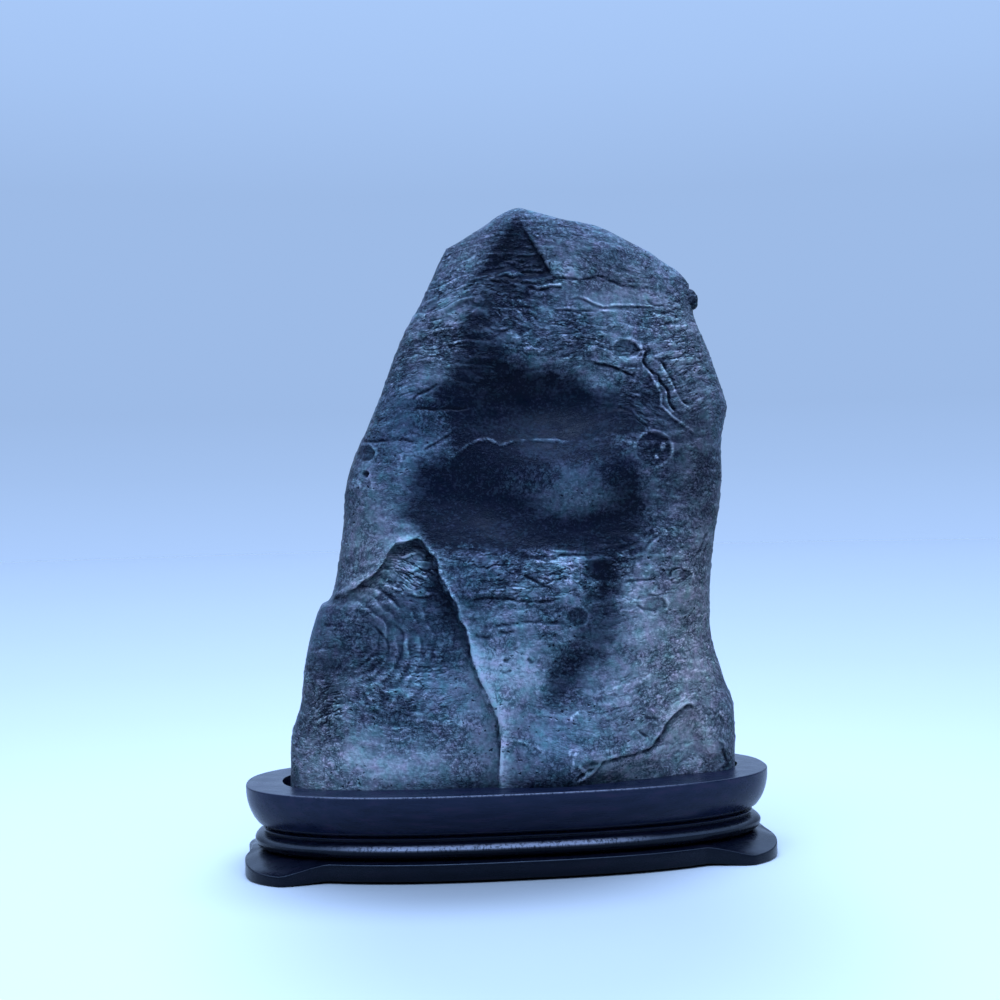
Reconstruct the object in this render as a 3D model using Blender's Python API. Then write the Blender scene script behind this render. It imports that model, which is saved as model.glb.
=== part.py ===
"""A mountain-shaped scholar's rock standing in the seat of a carved hardwood stand.

Frame: metres, +Z up, origin on the floor under the middle of the stand, front towards -Y.
Two pieces: the stone, and the stand, which is carved from one block.
"""

import math

import bmesh
import bpy
import numpy as np

MM = 0.001

# ---- the stand: an oblong with full round ends
STAND_LENGTH = 160 * MM
STAND_DEPTH = 72 * MM
RIM_Z = 25 * MM
OVAL_POWER = 2.45  # how full the ends of the rim are: 2 is an ellipse
FOOT_POWER = 3.9  # the feet stand out to the corners of a fuller oblong
FOOT_SIDE = (4, 13)  # degrees round the plan over which a foot grows from the end of the stand
FOOT_FRONT = (49, 43)  # and from the long side
FOOT_CORNER = (16, 44)  # and over which its top falls from the end of the stand to the corner
STAND_STEPS = 72

# ---- the moulding at the foot of the stand, in mm
FOOT_SPREAD = 0.3  # how far the feet pass the rim at the ends
FOOT_END_Z = 4.7  # top of a foot's upright face near the end of the stand
FOOT_CORNER_Z = 3.0  # and at its corner
NECK_Z = 6.05  # where the moulding leaves the roll
NECK_INSET = 5.2
APRON_Z = 5.6  # top of the moulding's upright face between the feet
APRON_INSET = 1.0
APRON_LIFT = 0.7  # gap under the moulding between the feet
RECESS_INSET = 9.0  # the underside is hollowed within this
UNDERSIDE_Z = 3.0
EDGE = 0.4  # rounding of the moulding's upper and lower edges

# ---- the stone: drawn as an outline in the plane y = 0, with a skin in front and one behind
SEAT_Z = 18.5 * MM  # the stone's flat foot, inside the seat
SEAT_GAP = 0.3 * MM  # between the stone's foot and the seat's floor
SEAT_PLAY = 0.7 * MM  # between the stone's side and the seat's wall
SEAT_NOTCH = 1.6 * MM  # the seat is longer than the stone at its left end by this much more
FRONT_THICK = 25 * MM
BACK_THICK = 23 * MM
CREST_THICK = 0.55  # share of the full thickness that is left at the crest
FULLNESS = 2.6  # how square the section is: 2 is an ellipse
FOCUS = np.array([-43, -461, 109]) * MM  # the front skin leans in towards this point
STONE_COLUMNS = 32
STONE_ROWS = 38
CREST_CROWD = 1.4  # rows lie closer together towards the crest

# Outline of the stone, in mm, (x, z).
LEFT_EDGE = [(-67, 18.5), (-66, 37.5), (-63.5, 48), (-61.5, 60), (-59, 71), (-56.5, 78), (-53.5, 80.5),
             (-50.5, 91), (-49, 102), (-48, 114), (-44.5, 124), (-40, 133.5), (-35.5, 144.5),
             (-30.5, 157.5), (-24, 169), (-18.5, 180.5), (-15.5, 186.5)]
CREST = [(-15.5, 186.5), (-7.5, 191), (0.5, 196), (6.7, 198.5), (11, 197.7), (19.5, 195.6), (29.5, 193.4),
         (40, 189), (51.5, 182), (57.5, 177.8), (60, 175)]
RIGHT_EDGE = [(71, 18.5), (71, 31.5), (71, 43), (68, 52), (64.5, 64), (64.5, 79), (66, 95.5), (68, 107),
              (69, 124), (71, 134.5), (71, 137.5), (68.5, 145.5), (65, 155.5), (61.5, 164), (60, 175)]

# The lower left of the front lies behind a broken edge, in mm.
LOBE_EDGE = [(-90, 60), (-75, 66), (-61, 76), (-53.5, 79.5), (-47, 82.5), (-40.5, 86.5), (-37, 90),
             (-35.5, 93.5), (-33.5, 96), (-30, 96.5), (-26.5, 97.5), (-25, 96), (-23.5, 94), (-21, 91),
             (-20, 86), (-18, 81.5), (-16, 77.5), (-14.5, 74.5), (-14, 71.5), (-12.5, 69), (-11, 62.5),
             (-9.5, 56.5), (-7, 50), (-4, 44), (-2, 39), (-2, 35), (-2.5, 30), (-3, 12), (-90, 12)]
LOBE_DROP = 3.6 * MM
LOBE_FOOT_DROP = 1.7 * MM  # the step is smaller near the seat
LOBE_RISE = (35 * MM, 80 * MM)  # heights between which it grows
LOBE_LEFT_SHARE = 0.45  # and it is this much of that on the left
LOBE_TURN = (-48 * MM, -34 * MM)  # the places across between which it grows
LOBE_SLOPE = 4 * MM  # width of the broken face

# A corner has flaked off the lower right of the front, in mm.
CHIP_EDGE = [(21, 8), (21.5, 26), (25.5, 27.5), (31, 27.5), (37.5, 29.5), (44, 30.5), (46.5, 33.5),
             (50.5, 38.5), (54, 42.5), (58, 44), (60.5, 41), (64, 35.5), (66, 30.5), (68.5, 27.5), (67.5, 8)]
CHIP_DROP = 3.6 * MM
CHIP_SLOPE = 7 * MM
CHIP_LIP = 0.9 * MM  # a sharp first step
CHIP_LIP_SLOPE = 3 * MM

# A wedge-shaped niche is cut in under the summit, in mm.
NICHE_EDGE = [(6.3, 199), (2.5, 193), (-1, 187.5), (-4, 182), (-7, 177.5), (-2, 176.5), (4, 177.5), (9, 176),
              (14, 177), (17.8, 177.2), (15.5, 182.5), (13, 187), (10.3, 190.5), (8, 195)]
NICHE_DROP = 2.6 * MM
NICHE_SLOPE = (7 * MM, 4 * MM)  # width of its sides, on the left and on the right
NICHE_MIDDLE = 9 * MM  # place across at which the right side's width is reached

# Broad swells (+) and hollows (-) of each skin: centre x, z, half-width, half-height, depth, all in mm,
# then the turn of its long axis in degrees.
FRONT_FORMS = [
    (6, 181, 10, 13, -3.0, 0),  # niche under the summit
    (-8, 163, 6, 16, -2.5, -20),  # gully that runs down from it
    (10, 137, 32, 15, -9.0, 5),  # upper hollow
    (-10, 110, 19, 15, -8.5, -25),  # lower hollow, left
    (31, 102, 20, 10, -4.5, 10),  # lower hollow, right
    (28, 115, 15, 12, 1.5, 0),  # swell between them
    (32, 82, 7, 10, -2.0, -10),  # short gully under the hollow
    (23, 58, 10, 26, -3.5, -35),  # valley down to the front of the foot
    (18, 28, 16, 14, 3.5, 0),  # corner that stands out over the rim
    (0, 82, 20, 10, 1.5, 0),  # shelf under the hollow
    (48, 160, 14, 14, 1.5, 0),  # right shoulder
    (-32, 140, 10, 22, 1.0, 20),  # left shoulder
]
BACK_FORMS = [
    (-20, 60, 26, 30, 3.0, 15),
    (30, 95, 24, 34, 3.5, -10),
    (8, 75, 12, 46, -4.0, -12),
    (-25, 115, 16, 26, -3.0, 25),
    (20, 150, 22, 16, -3.5, 10),
    (48, 55, 14, 20, -3.0, 0),
    (0, 172, 16, 14, 2.5, 0),
    (-45, 42, 14, 14, -2.5, 30),
]

KNOB_AT = np.array([60.5, -1.6, 169.8]) * MM  # a nodule that stands out of the right edge
KNOB_RADII = (2.2 * MM, 2.2 * MM, 3.3 * MM)


# ---------------------------------------------------------------- scene helpers


def clear_scene():
    """Start from an empty scene."""
    for thing in list(bpy.data.objects):
        bpy.data.objects.remove(thing, do_unlink=True)


def new_collection(name):
    """A collection linked to the scene."""
    group = bpy.data.collections.new(name)
    bpy.context.scene.collection.children.link(group)
    return group


def material(name, colour, roughness, metallic=0.0, coat=0.0):
    """A Principled material of one colour."""
    made = bpy.data.materials.new(name)
    made.use_nodes = True
    shader = made.node_tree.nodes["Principled BSDF"]
    shader.inputs["Base Color"].default_value = (*colour, 1)
    shader.inputs["Roughness"].default_value = roughness
    shader.inputs["Metallic"].default_value = metallic
    shader.inputs["Coat Weight"].default_value = coat
    return made


def add_object(name, mesh_data, group):
    """A named object in a collection."""
    thing = bpy.data.objects.new(name, mesh_data)
    group.objects.link(thing)
    return thing


def mesh_from(name, bm):
    """A mesh datablock with its faces pointing out, from a bmesh that is then freed."""
    bmesh.ops.recalc_face_normals(bm, faces=bm.faces)
    made = bpy.data.meshes.new(name)
    bm.to_mesh(made)
    bm.free()
    return made


def boolean(thing, cutter, operation):
    """Cut or join with another object, which stays out of the renders."""
    cutter.hide_render = True
    cutter.display_type = "WIRE"
    step = thing.modifiers.new(cutter.name, "BOOLEAN")
    step.object = cutter
    step.operation = operation
    step.solver = "EXACT"


# ---------------------------------------------------------------- curves and falloffs


def smooth_line(points, count):
    """Evenly spaced points on a smooth curve through the given ones (Catmull-Rom), in metres."""
    knots = np.array([points[0], *points, points[-1]], float) * MM
    t = np.linspace(0, 1, 12, endpoint=False)[:, None]
    runs = []
    for a, b, c, d in zip(knots, knots[1:], knots[2:], knots[3:]):
        runs.append(b + 0.5 * t * (c - a + t * (2 * a - 5 * b + 4 * c - d + t * (3 * (b - c) + d - a))))
    curve = np.vstack(runs + [knots[-1:]])
    length = np.concatenate([[0], np.cumsum(np.hypot(*np.diff(curve, axis=0).T))])
    at = np.linspace(0, length[-1], count)
    return np.stack([np.interp(at, length, curve[:, 0]), np.interp(at, length, curve[:, 1])], 1)


def fade(value):
    """0 below 0, 1 above 1, and a smooth S between."""
    t = np.clip(value, 0, 1)
    return t * t * (3 - 2 * t)


def between(value, low, high):
    """0 at low, 1 at high, and a smooth S between; high may be the smaller."""
    return fade((value - low) / (high - low))


def mix(first, second, share):
    """A value between two."""
    return first + (second - first) * share


def inside_distance(x, z, outline):
    """How far each point is from a closed outline given in mm: positive inside it."""
    ring = np.array(outline, float) * MM
    nearest = np.full(x.shape, 1e9)
    inside = np.zeros(x.shape, bool)
    for (ax, az), (bx, bz) in zip(ring, np.roll(ring, -1, axis=0)):
        ux, uz = bx - ax, bz - az
        t = np.clip(((x - ax) * ux + (z - az) * uz) / (ux * ux + uz * uz), 0, 1)
        nearest = np.minimum(nearest, np.hypot(x - ax - t * ux, z - az - t * uz))
        crosses = (az > z) != (bz > z)
        if uz != 0:
            inside ^= crosses & (x < ax + ux * (z - az) / uz)
    return np.where(inside, nearest, -nearest)


def forms_depth(x, z, forms):
    """The sum of the broad swells and hollows at each point."""
    total = np.zeros(x.shape)
    for cx, cz, half_w, half_h, depth, turn in forms:
        c, s = math.cos(math.radians(turn)), math.sin(math.radians(turn))
        dx, dz = x - cx * MM, z - cz * MM
        along = (dx * c + dz * s) / (half_w * MM)
        across = (dz * c - dx * s) / (half_h * MM)
        total += depth * MM * np.exp(-(along**2 + across**2))
    return total


# ---------------------------------------------------------------- the stone


def stone_outline_grid(foot_drop):
    """A grid of points over the stone's outline, bent to follow all four of its sides (a Coons patch).

    foot_drop lowers the bottom row, column by column. Returns x, z, and the shares across and up.
    """
    across = 0.5 - 0.5 * np.cos(np.linspace(0, math.pi, STONE_COLUMNS + 1))
    rise = np.linspace(0, 1, STONE_ROWS + 1)
    up = 1 - (1 - rise) ** CREST_CROWD
    fine = 400
    left = smooth_line(LEFT_EDGE, fine)
    right = smooth_line(RIGHT_EDGE, fine)
    crest = smooth_line(CREST, fine)
    share = np.linspace(0, 1, fine)

    def at(line, t):
        return np.stack([np.interp(t, share, line[:, 0]), np.interp(t, share, line[:, 1])], -1)

    u, v = np.meshgrid(across, up)
    u3, v3 = u[..., None], v[..., None]
    foot = (1 - u3) * left[0] + u3 * right[0]
    foot[..., 1] -= foot_drop
    grid = (1 - v3) * foot + v3 * at(crest, u) + (1 - u3) * at(left, v) + u3 * at(right, v)
    grid -= (1 - u3) * (1 - v3) * left[0] + u3 * (1 - v3) * right[0]
    grid -= (1 - u3) * v3 * crest[0] + u3 * v3 * crest[-1]
    return grid[..., 0], grid[..., 1], u, v


def section(u, v):
    """Share of the full thickness: round at both sides and over the crest."""
    side = (1 - np.abs(2 * u - 1) ** FULLNESS) ** (1 / FULLNESS)
    top = np.sqrt(1 - v**8)
    lean = 1 - (1 - CREST_THICK) * fade((v - 0.35) / 0.65)
    return side * top * lean


def front_depth(x, z, u, v):
    """How far the front skin stands in front of the plane y = 0."""
    round_share = section(u, v)
    depth = FRONT_THICK * round_share
    marks = forms_depth(x, z, FRONT_FORMS)
    drop = mix(LOBE_FOOT_DROP, LOBE_DROP, between(z, *LOBE_RISE))
    drop = drop * mix(LOBE_LEFT_SHARE, 1, between(x, *LOBE_TURN))
    marks -= drop * fade(inside_distance(x, z, LOBE_EDGE) / LOBE_SLOPE)
    chip = inside_distance(x, z, CHIP_EDGE)
    marks -= CHIP_LIP * fade(chip / CHIP_LIP_SLOPE) + (CHIP_DROP - CHIP_LIP) * fade(chip / CHIP_SLOPE)
    slope = mix(*NICHE_SLOPE, fade(x / NICHE_MIDDLE))
    marks -= NICHE_DROP * fade(inside_distance(x, z, NICHE_EDGE) / slope)
    return depth + marks * fade(round_share * 1.6)


def back_depth(x, z, u, v):
    """How far the back skin stands behind the plane y = 0."""
    round_share = section(u, v)
    return BACK_THICK * round_share + forms_depth(x, z, BACK_FORMS) * fade(round_share * 1.6)


def front_skin():
    """Grid of points of the front skin. It leans in towards FOCUS as it comes forward."""
    drop = np.zeros(STONE_COLUMNS + 1)
    for _ in range(4):
        x, z, u, v = stone_outline_grid(drop)
        depth = front_depth(x, z, u, v)
        lean = depth[0] / -FOCUS[1]
        drop = (FOCUS[2] - SEAT_Z) * lean / (1 - lean)
    lean = depth / -FOCUS[1]
    skin = np.stack([x + (FOCUS[0] - x) * lean, -depth, z + (FOCUS[2] - z) * lean], -1)
    skin[0, :, 2] = SEAT_Z
    return skin


def back_skin():
    """Grid of points of the back skin."""
    x, z, u, v = stone_outline_grid(np.zeros(STONE_COLUMNS + 1))
    return np.stack([x, back_depth(x, z, u, v), z], -1)


def add_skin(bm, skin):
    """A sheet of quads over a grid of points, as a grid primitive whose vertices are moved there."""
    rows, columns = skin.shape[:2]
    made = bmesh.ops.create_grid(bm, x_segments=columns - 1, y_segments=rows - 1, size=1)
    for vert in made["verts"]:
        column = round((vert.co.x + 1) / 2 * (columns - 1))
        row = round((vert.co.y + 1) / 2 * (rows - 1))
        vert.co = skin[row, column]


def make_stone(group, cutters):
    """Front and back skins sewn along the outline, closed by the flat foot, with the knob joined on."""
    bm = bmesh.new()
    add_skin(bm, front_skin())
    add_skin(bm, back_skin())
    bmesh.ops.remove_doubles(bm, verts=bm.verts, dist=0.02 * MM)
    bmesh.ops.holes_fill(bm, edges=[e for e in bm.edges if e.is_boundary])
    bmesh.ops.triangulate(bm, faces=[f for f in bm.faces if len(f.verts) > 4])
    stone = add_object("stone", mesh_from("stone", bm), group)
    stone.data.materials.append(material("slate", (0.075, 0.085, 0.1), 0.72))

    ball = bmesh.new()
    bmesh.ops.create_icosphere(ball, subdivisions=2, radius=1)
    bmesh.ops.scale(ball, vec=KNOB_RADII, verts=ball.verts)
    knob = add_object("knob_join", mesh_from("knob_join", ball), cutters)
    knob.location = KNOB_AT
    boolean(stone, knob, "UNION")
    stone.data.shade_smooth()
    return stone


def widest(skin, side):
    """How far a skin stands out between its foot and the rim, column by column, in plan."""
    low = skin[skin[:, 0, 2] < RIM_Z + 5 * MM, :, :2]
    reach = (low[..., 1] * side).argmax(axis=0)
    return low[reach, np.arange(low.shape[1])]


def foot_ring():
    """The stone's outline in plan where it passes through the seat, counter-clockwise from its left end."""
    return np.vstack([widest(front_skin(), -1), widest(back_skin(), 1)[-2:0:-1]])


# ---------------------------------------------------------------- the stand


def oval_radius(angle, power):
    """Radius of a unit superellipse in a direction."""
    return (np.abs(np.cos(angle)) ** power + np.abs(np.sin(angle)) ** power) ** (-1 / power)


def foot_share(angle):
    """1 where a foot stands, 0 between the feet."""
    c, s = np.abs(np.cos(angle)), np.abs(np.sin(angle))
    turn = np.degrees(np.arctan2(s, c))
    return between(turn, *FOOT_SIDE) * between(turn, *FOOT_FRONT)


def stand_ring(angle, inset, height, share=0.0):
    """One ring of the stand: its inset from the rim and its height, both in mm."""
    power = mix(OVAL_POWER, FOOT_POWER, share)
    radius = oval_radius(angle, power)
    x = (STAND_LENGTH / 2 - inset * MM) * radius * np.cos(angle)
    y = (STAND_DEPTH / 2 - inset * MM) * radius * np.sin(angle)
    return np.stack([x, y, np.broadcast_to(height * MM, x.shape)], -1)


def arc(centre_inset, centre_z, radius_in, radius_z, start, end, steps):
    """(inset, height) pairs round an elliptic arc, in mm; 0 degrees points outwards, 90 up."""
    turns = np.radians(np.linspace(start, end, steps))
    return [(centre_inset - radius_in * math.cos(t), centre_z + radius_z * math.sin(t)) for t in turns]


def stand_profile():
    """The moulding from the top down, in mm: edge, bowl, groove, fillet, groove and roll."""
    edge = [(0.3, 25.0), (0.0, 24.7)]
    bowl = arc(11.0, 23.8, 11.0, 13.6, -3, -44, 5)
    groove = [(3.4, 14.0), (6.2, 13.5), (6.2, 12.7)]
    fillet = arc(5.6, 11.95, 0.7, 0.4, 80, -80, 3)
    roll = arc(6.4, 8.6, 4.1, 2.45, 78, 22, 3) + [(2.4, 9.25)] + arc(6.0, 9.0, 3.6, 3.0, -5, -79, 4)
    return edge + bowl + groove + fillet + roll


def foot_rings(angle):
    """The moulding at the floor and the feet it grows into, from the roll's underside down."""
    share = foot_share(angle)
    turn = np.degrees(np.arctan2(np.abs(np.sin(angle)), np.abs(np.cos(angle))))
    top = mix(APRON_Z, mix(FOOT_END_Z, FOOT_CORNER_Z, between(turn, *FOOT_CORNER)), share)
    lift = mix(APRON_LIFT, 0.0, share)
    out = mix(APRON_INSET, -FOOT_SPREAD, share)
    rings = []
    for step in (0.3, 0.65, 1.0):
        inset = mix(NECK_INSET, out + 1.5 * EDGE, step)
        height = mix(NECK_Z, top, mix(step, step**1.3, share))
        rings.append(stand_ring(angle, inset, height, share * step**1.5))
    rings.append(stand_ring(angle, out, top - EDGE, share))
    rings.append(stand_ring(angle, out, lift + EDGE, share))
    rings.append(stand_ring(angle, out + EDGE, lift, share))
    rings.append(stand_ring(angle, RECESS_INSET, lift, share))
    rings.append(stand_ring(angle, RECESS_INSET + EDGE, UNDERSIDE_Z, share))
    return rings


def seat_cutter(cutters):
    """The seat's hollow: the stone's plan at its foot, grown by its play, up through the rim."""
    ring = foot_ring()
    middle = ring.mean(axis=0)
    ahead = np.roll(ring, -1, axis=0) - np.roll(ring, 1, axis=0)
    out = np.stack([ahead[:, 1], -ahead[:, 0]], 1) / np.hypot(*ahead.T)[:, None]
    notch = fade((middle[0] - 50 * MM - ring[:, 0]) / (15 * MM)) * SEAT_NOTCH
    wall = ring + out * (SEAT_PLAY + notch)[:, None]
    bm = bmesh.new()
    floor = SEAT_Z - SEAT_GAP
    bottom = bm.faces.new([bm.verts.new((x, y, floor)) for x, y in wall])
    lifted = bmesh.ops.extrude_face_region(bm, geom=[bottom])
    top = [v for v in lifted["geom"] if isinstance(v, bmesh.types.BMVert)]
    bmesh.ops.translate(bm, verts=top, vec=(0, 0, RIM_Z - floor + 5 * MM))
    return add_object("seat_cut", mesh_from("seat_cut", bm), cutters)


def make_stand(group, cutters):
    """The carved block, lofted ring by ring, with the seat cut into it."""
    angle = np.linspace(0, 2 * math.pi, STAND_STEPS, endpoint=False)
    profile = [stand_ring(angle, inset, z) for inset, z in stand_profile()]
    bm = bmesh.new()
    rings = [[bm.verts.new(point) for point in ring] for ring in profile + foot_rings(angle)]
    for upper, lower in zip(rings, rings[1:]):
        for i in range(STAND_STEPS):
            j = (i + 1) % STAND_STEPS
            bm.faces.new((upper[i], upper[j], lower[j], lower[i]))
    bm.faces.new(rings[0])
    bm.faces.new(rings[-1])
    stand = add_object("stand", mesh_from("stand", bm), group)
    stand.data.materials.append(material("rosewood", (0.022, 0.012, 0.014), 0.3, coat=0.4))
    boolean(stand, seat_cutter(cutters), "DIFFERENCE")
    stand.data.shade_smooth()
    return stand


def main():
    clear_scene()
    group = new_collection("scholars_rock")
    cutters = new_collection("cutters")
    make_stone(group, cutters)
    make_stand(group, cutters)


main()
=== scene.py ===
"""Looks of a mountain-shaped scholar's rock on its carved stand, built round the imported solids.

Frame: metres, +Z up, origin on the floor under the middle of the stand, front towards -Y.
The rock is drawn as an outline in the plane y = 0, with a skin in front and one behind. Places on
its skins are (x, z) in that plane, in mm.
"""

import math

import bmesh
import bpy
import numpy as np
from mathutils import Matrix, Vector


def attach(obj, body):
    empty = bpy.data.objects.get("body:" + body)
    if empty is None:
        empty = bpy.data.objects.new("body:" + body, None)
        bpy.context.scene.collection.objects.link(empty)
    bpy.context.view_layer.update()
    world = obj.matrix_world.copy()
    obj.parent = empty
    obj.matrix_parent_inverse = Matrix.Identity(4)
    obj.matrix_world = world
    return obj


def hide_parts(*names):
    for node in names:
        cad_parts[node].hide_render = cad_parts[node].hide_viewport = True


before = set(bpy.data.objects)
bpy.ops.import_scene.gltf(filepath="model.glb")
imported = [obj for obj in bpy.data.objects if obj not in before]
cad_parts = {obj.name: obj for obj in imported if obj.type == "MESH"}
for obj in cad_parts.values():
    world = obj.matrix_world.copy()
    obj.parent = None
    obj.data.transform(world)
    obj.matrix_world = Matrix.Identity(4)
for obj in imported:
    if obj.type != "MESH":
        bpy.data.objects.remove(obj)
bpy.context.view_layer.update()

MM = 0.001

# ---- camera: level, a little left of the object's middle
CAMERA_AT = (-42.8 * MM, -460.6 * MM, 108.8 * MM)
CAMERA_HEADING = -0.091  # radians about Z, from +Y
CAMERA_ROLL = 0.024
CAMERA_TURN = (Matrix.Rotation(CAMERA_HEADING, 3, "Z") @ Matrix.Rotation(math.pi / 2, 3, "X")
               @ Matrix.Rotation(-CAMERA_ROLL, 3, "Z"))
LENS = 54
SENSOR = 36
PICTURE = 1000  # pixels across the camera's picture

# ---- stage and light
FLOOR_RADIUS = 3.0
LIGHT_TINT = np.array([0.42, 0.62, 1.0])
WALL_SPAN = (-0.1, 0.4)  # sine of the heights between which the wall's tone changes
WALL = [(0.0, 1.0), (0.14, 1.0), (0.24, 0.87), (0.32, 0.80), (0.6, 0.80), (0.74, 0.90), (0.84, 0.945),
        (1.0, 1.0)]
# axis, from, to, light gained
SKY = [("Z", 0.35, 0.85, 5.0), ("Y", -0.7, 0.5, 0.7), ("Y", 0.75, 1.0, 0.7)]
SKY_LEAST = 0.1
SOFTBOX_SIZE = (0.7, 0.4)
SOFTBOX_WATTS = 12
SOFTBOX_AT = (-0.05, -0.25, 0.95)
SOFTBOX_TILT = 14  # degrees
FLOOR_DROP = 0.05 * MM  # how far the floor lies under the feet
LIGHT_POOL_MIDDLE = (-0.02, -0.15, 0)
# Soft shade on the floor: middle, squeeze by axis, from and to, and how dark it is there.
PAPER_SHADE = ((0, -0.085, 0), (0.8, 0.6, 1), (0.025, 0.085), 0.74)
PAPER_CONTACT = ((-0.016, -0.024, 0), (0.62, 1, 1), (0.018, 0.055), 0.56)
# The paper's tone by distance from its middle: a painted pool of light that fades away from the object.
PAPER_LIGHT_POOL = [(0.0, 0.40), (0.3, 0.375), (0.5, 0.34), (0.7, 0.32), (1.05, 0.304), (1.7, 0.284), (3.0, 0.258)]

# ---- the stand, as in the CAD; the lengths below RIM_Z are in mm
STAND_LENGTH = 160 * MM
STAND_DEPTH = 72 * MM
RIM_Z = 25 * MM
OVAL_POWER = 2.45
FOOT_POWER = 3.9
NECK_INSET = 5.2
NECK_Z = 6.05
APRON_REACH = 3.6
APRON_INSET = 1.0
APRON_Z = 5.6
APRON_LIFT = 0.7
FOOT_REACH = 4.3
FOOT_SPREAD = 0.3
FOOT_EDGE = 0.4  # radius of its rounded edge
FOOT_END_Z = 4.7
FOOT_CORNER_Z = 3.0
FOOT_SIDE = (4, 9)  # degrees from the long axis: where the foot starts, and how long it takes
FOOT_FRONT = (49, -6)
FOOT_CORNER = (16, 28)
FLOOR_INSET = 9.0
UNDERSIDE_INSET = 9.5
UNDERSIDE_Z = 3.0
STAND_STEPS = 360
SHARP_ANGLE = 35  # degrees
# Where the lacquer is painted paler, each as a start and a length in mm: by height, by inset (on the roll
# by height again), and by distance along the stand from WEAR_AND_HIGHLIGHT_MIDDLE. On the rim this is
# rubbed wear and a painted highlight, on the roll a painted highlight.
WEAR_AND_HIGHLIGHT_MIDDLE = -8
RIM_WEAR_AND_HIGHLIGHT = ((24.6, 0.15), (0.75, -0.3), (68, -30))
ROLL_HIGHLIGHT = ((9.1, 0.3), (10.5, -0.4), (52, -25))
RIM_WEAR_AND_HIGHLIGHT_SHARE = 0.4
ROLL_HIGHLIGHT_SHARE = 0.8

# ---- the rock, as in the CAD
SEAT_Z = 18.5 * MM
SEAT_GAP = 0.3 * MM
SEAT_PLAY = 0.7 * MM
SEAT_NOTCH = 1.6 * MM  # more play at the left end
SEAT_NOTCH_REACH = (-50 * MM, -15 * MM)  # from the seat's middle, and over how much
OVER_RIM = 5 * MM
FRONT_THICK = 25 * MM
BACK_THICK = 23 * MM
CREST_THICK = 0.55
CREST_LEAN_FROM = 0.35  # share of the height
CREST_POWER = 8
FULLNESS = 2.6
FOCUS = np.array([-43, -461, 109]) * MM  # the front skin leans towards it
CREST_CROWD = 1.4
COLUMNS, ROWS = ((350, 430))
GRID_SCALE = 2
EDGE_STEPS = 400  # points along each side of the outline
SPAN_STEPS = 12  # points on a smooth line from one given point to the next
NOISE_GAIN = 1.6  # brings the noise to about -1 to 1
DRAWN = ("tone", "level", "ripple", "warmth")  # numbers drawn on the mesh for its material
MOST_TRIANGLES = 196000

# ---- the rock's tones and colours
SIDE_TONE = 0.6
DARKEST_TONE = -0.03
# Painted shade along the rock's sides: SEAM_SHADE on the right, SEAM_SHADE_LEFT on the left.
SEAM_SHADE = 0.13
SEAM_SHADE_LEFT = 0.22
SEAM_MIDDLE = (-20 * MM, 40 * MM)
KNOB_DARK = 0.22
STONE_COLOURS = [(0, (0.0020, 0.0038, 0.0095)), (0.12, (0.0078, 0.0118, 0.0205)),
                 (0.25, (0.014, 0.020, 0.031)), (0.5, (0.042, 0.056, 0.074)),
                 (0.75, (0.115, 0.143, 0.170)), (1, (0.30, 0.335, 0.37))]
WOOD_COLOURS = [(0.3, (0.003, 0.005, 0.015)), (0.52, (0.0058, 0.009, 0.024)), (0.72, (0.017, 0.012, 0.031))]
RUBBED_AND_HIGHLIGHT_WOOD = (0.25, 0.25, 0.31, 1)
DUST = (0.30, 0.30, 0.32, 1)

# ---- how what is drawn on the rock fades in from its sides: factors on the share of the full thickness
FORMS_FADE = 1.6
MARKS_FADE = 1.8
BEDS_FADE = 2
SEAM_FADE = 1.3

# ---- how a drawn edge wanders: size and reach in mm, seed
LOBE_WANDER = (5, 0.35, 31)
CHIP_WANDER = (4, 0.4, 41)
NICHE_WANDER = (5, 0.4, 51)
LINE_WANDER = (4, 0.25, 61)
STAIN_AND_SHADE_WANDER = (9, 1.6, 81)

LEFT_EDGE = [(-67, 18.5), (-66, 37.5), (-63.5, 48), (-61.5, 60), (-59, 71), (-56.5, 78), (-53.5, 80.5),
             (-50.5, 91), (-49, 102), (-48, 114), (-44.5, 124), (-40, 133.5), (-35.5, 144.5),
             (-30.5, 157.5), (-24, 169), (-18.5, 180.5), (-15.5, 186.5)]
CREST = [(-15.5, 186.5), (-7.5, 191), (0.5, 196), (6.7, 198.5), (11, 197.7), (19.5, 195.6), (29.5, 193.4),
         (40, 189), (51.5, 182), (57.5, 177.8), (60, 175)]
RIGHT_EDGE = [(71, 18.5), (71, 31.5), (71, 43), (68, 52), (64.5, 64), (64.5, 79), (66, 95.5), (68, 107),
              (69, 124), (71, 134.5), (71, 137.5), (68.5, 145.5), (65, 155.5), (61.5, 164), (60, 175)]

# Broad swells (+) and hollows (-): centre x, z, half-width, half-height, depth in mm, turn in degrees.
FRONT_FORMS = [
    (6, 181, 10, 13, -3.0, 0),  # niche under the summit
    (-8, 163, 6, 16, -2.5, -20),  # gully that runs down from it
    (10, 137, 32, 15, -9.0, 5),  # upper hollow
    (-10, 110, 19, 15, -8.5, -25),  # lower hollow, left
    (31, 102, 20, 10, -4.5, 10),  # lower hollow, right
    (28, 115, 15, 12, 1.5, 0),  # swell between them
    (32, 82, 7, 10, -2.0, -10),  # short gully under the hollow
    (23, 58, 10, 26, -3.5, -35),  # valley down to the front of the foot
    (18, 28, 16, 14, 3.5, 0),  # corner that stands out over the rim
    (0, 82, 20, 10, 1.5, 0),  # shelf under the hollow
    (48, 160, 14, 14, 1.5, 0),  # right shoulder
    (-32, 140, 10, 22, 1.0, 20),  # left shoulder
]
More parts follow.
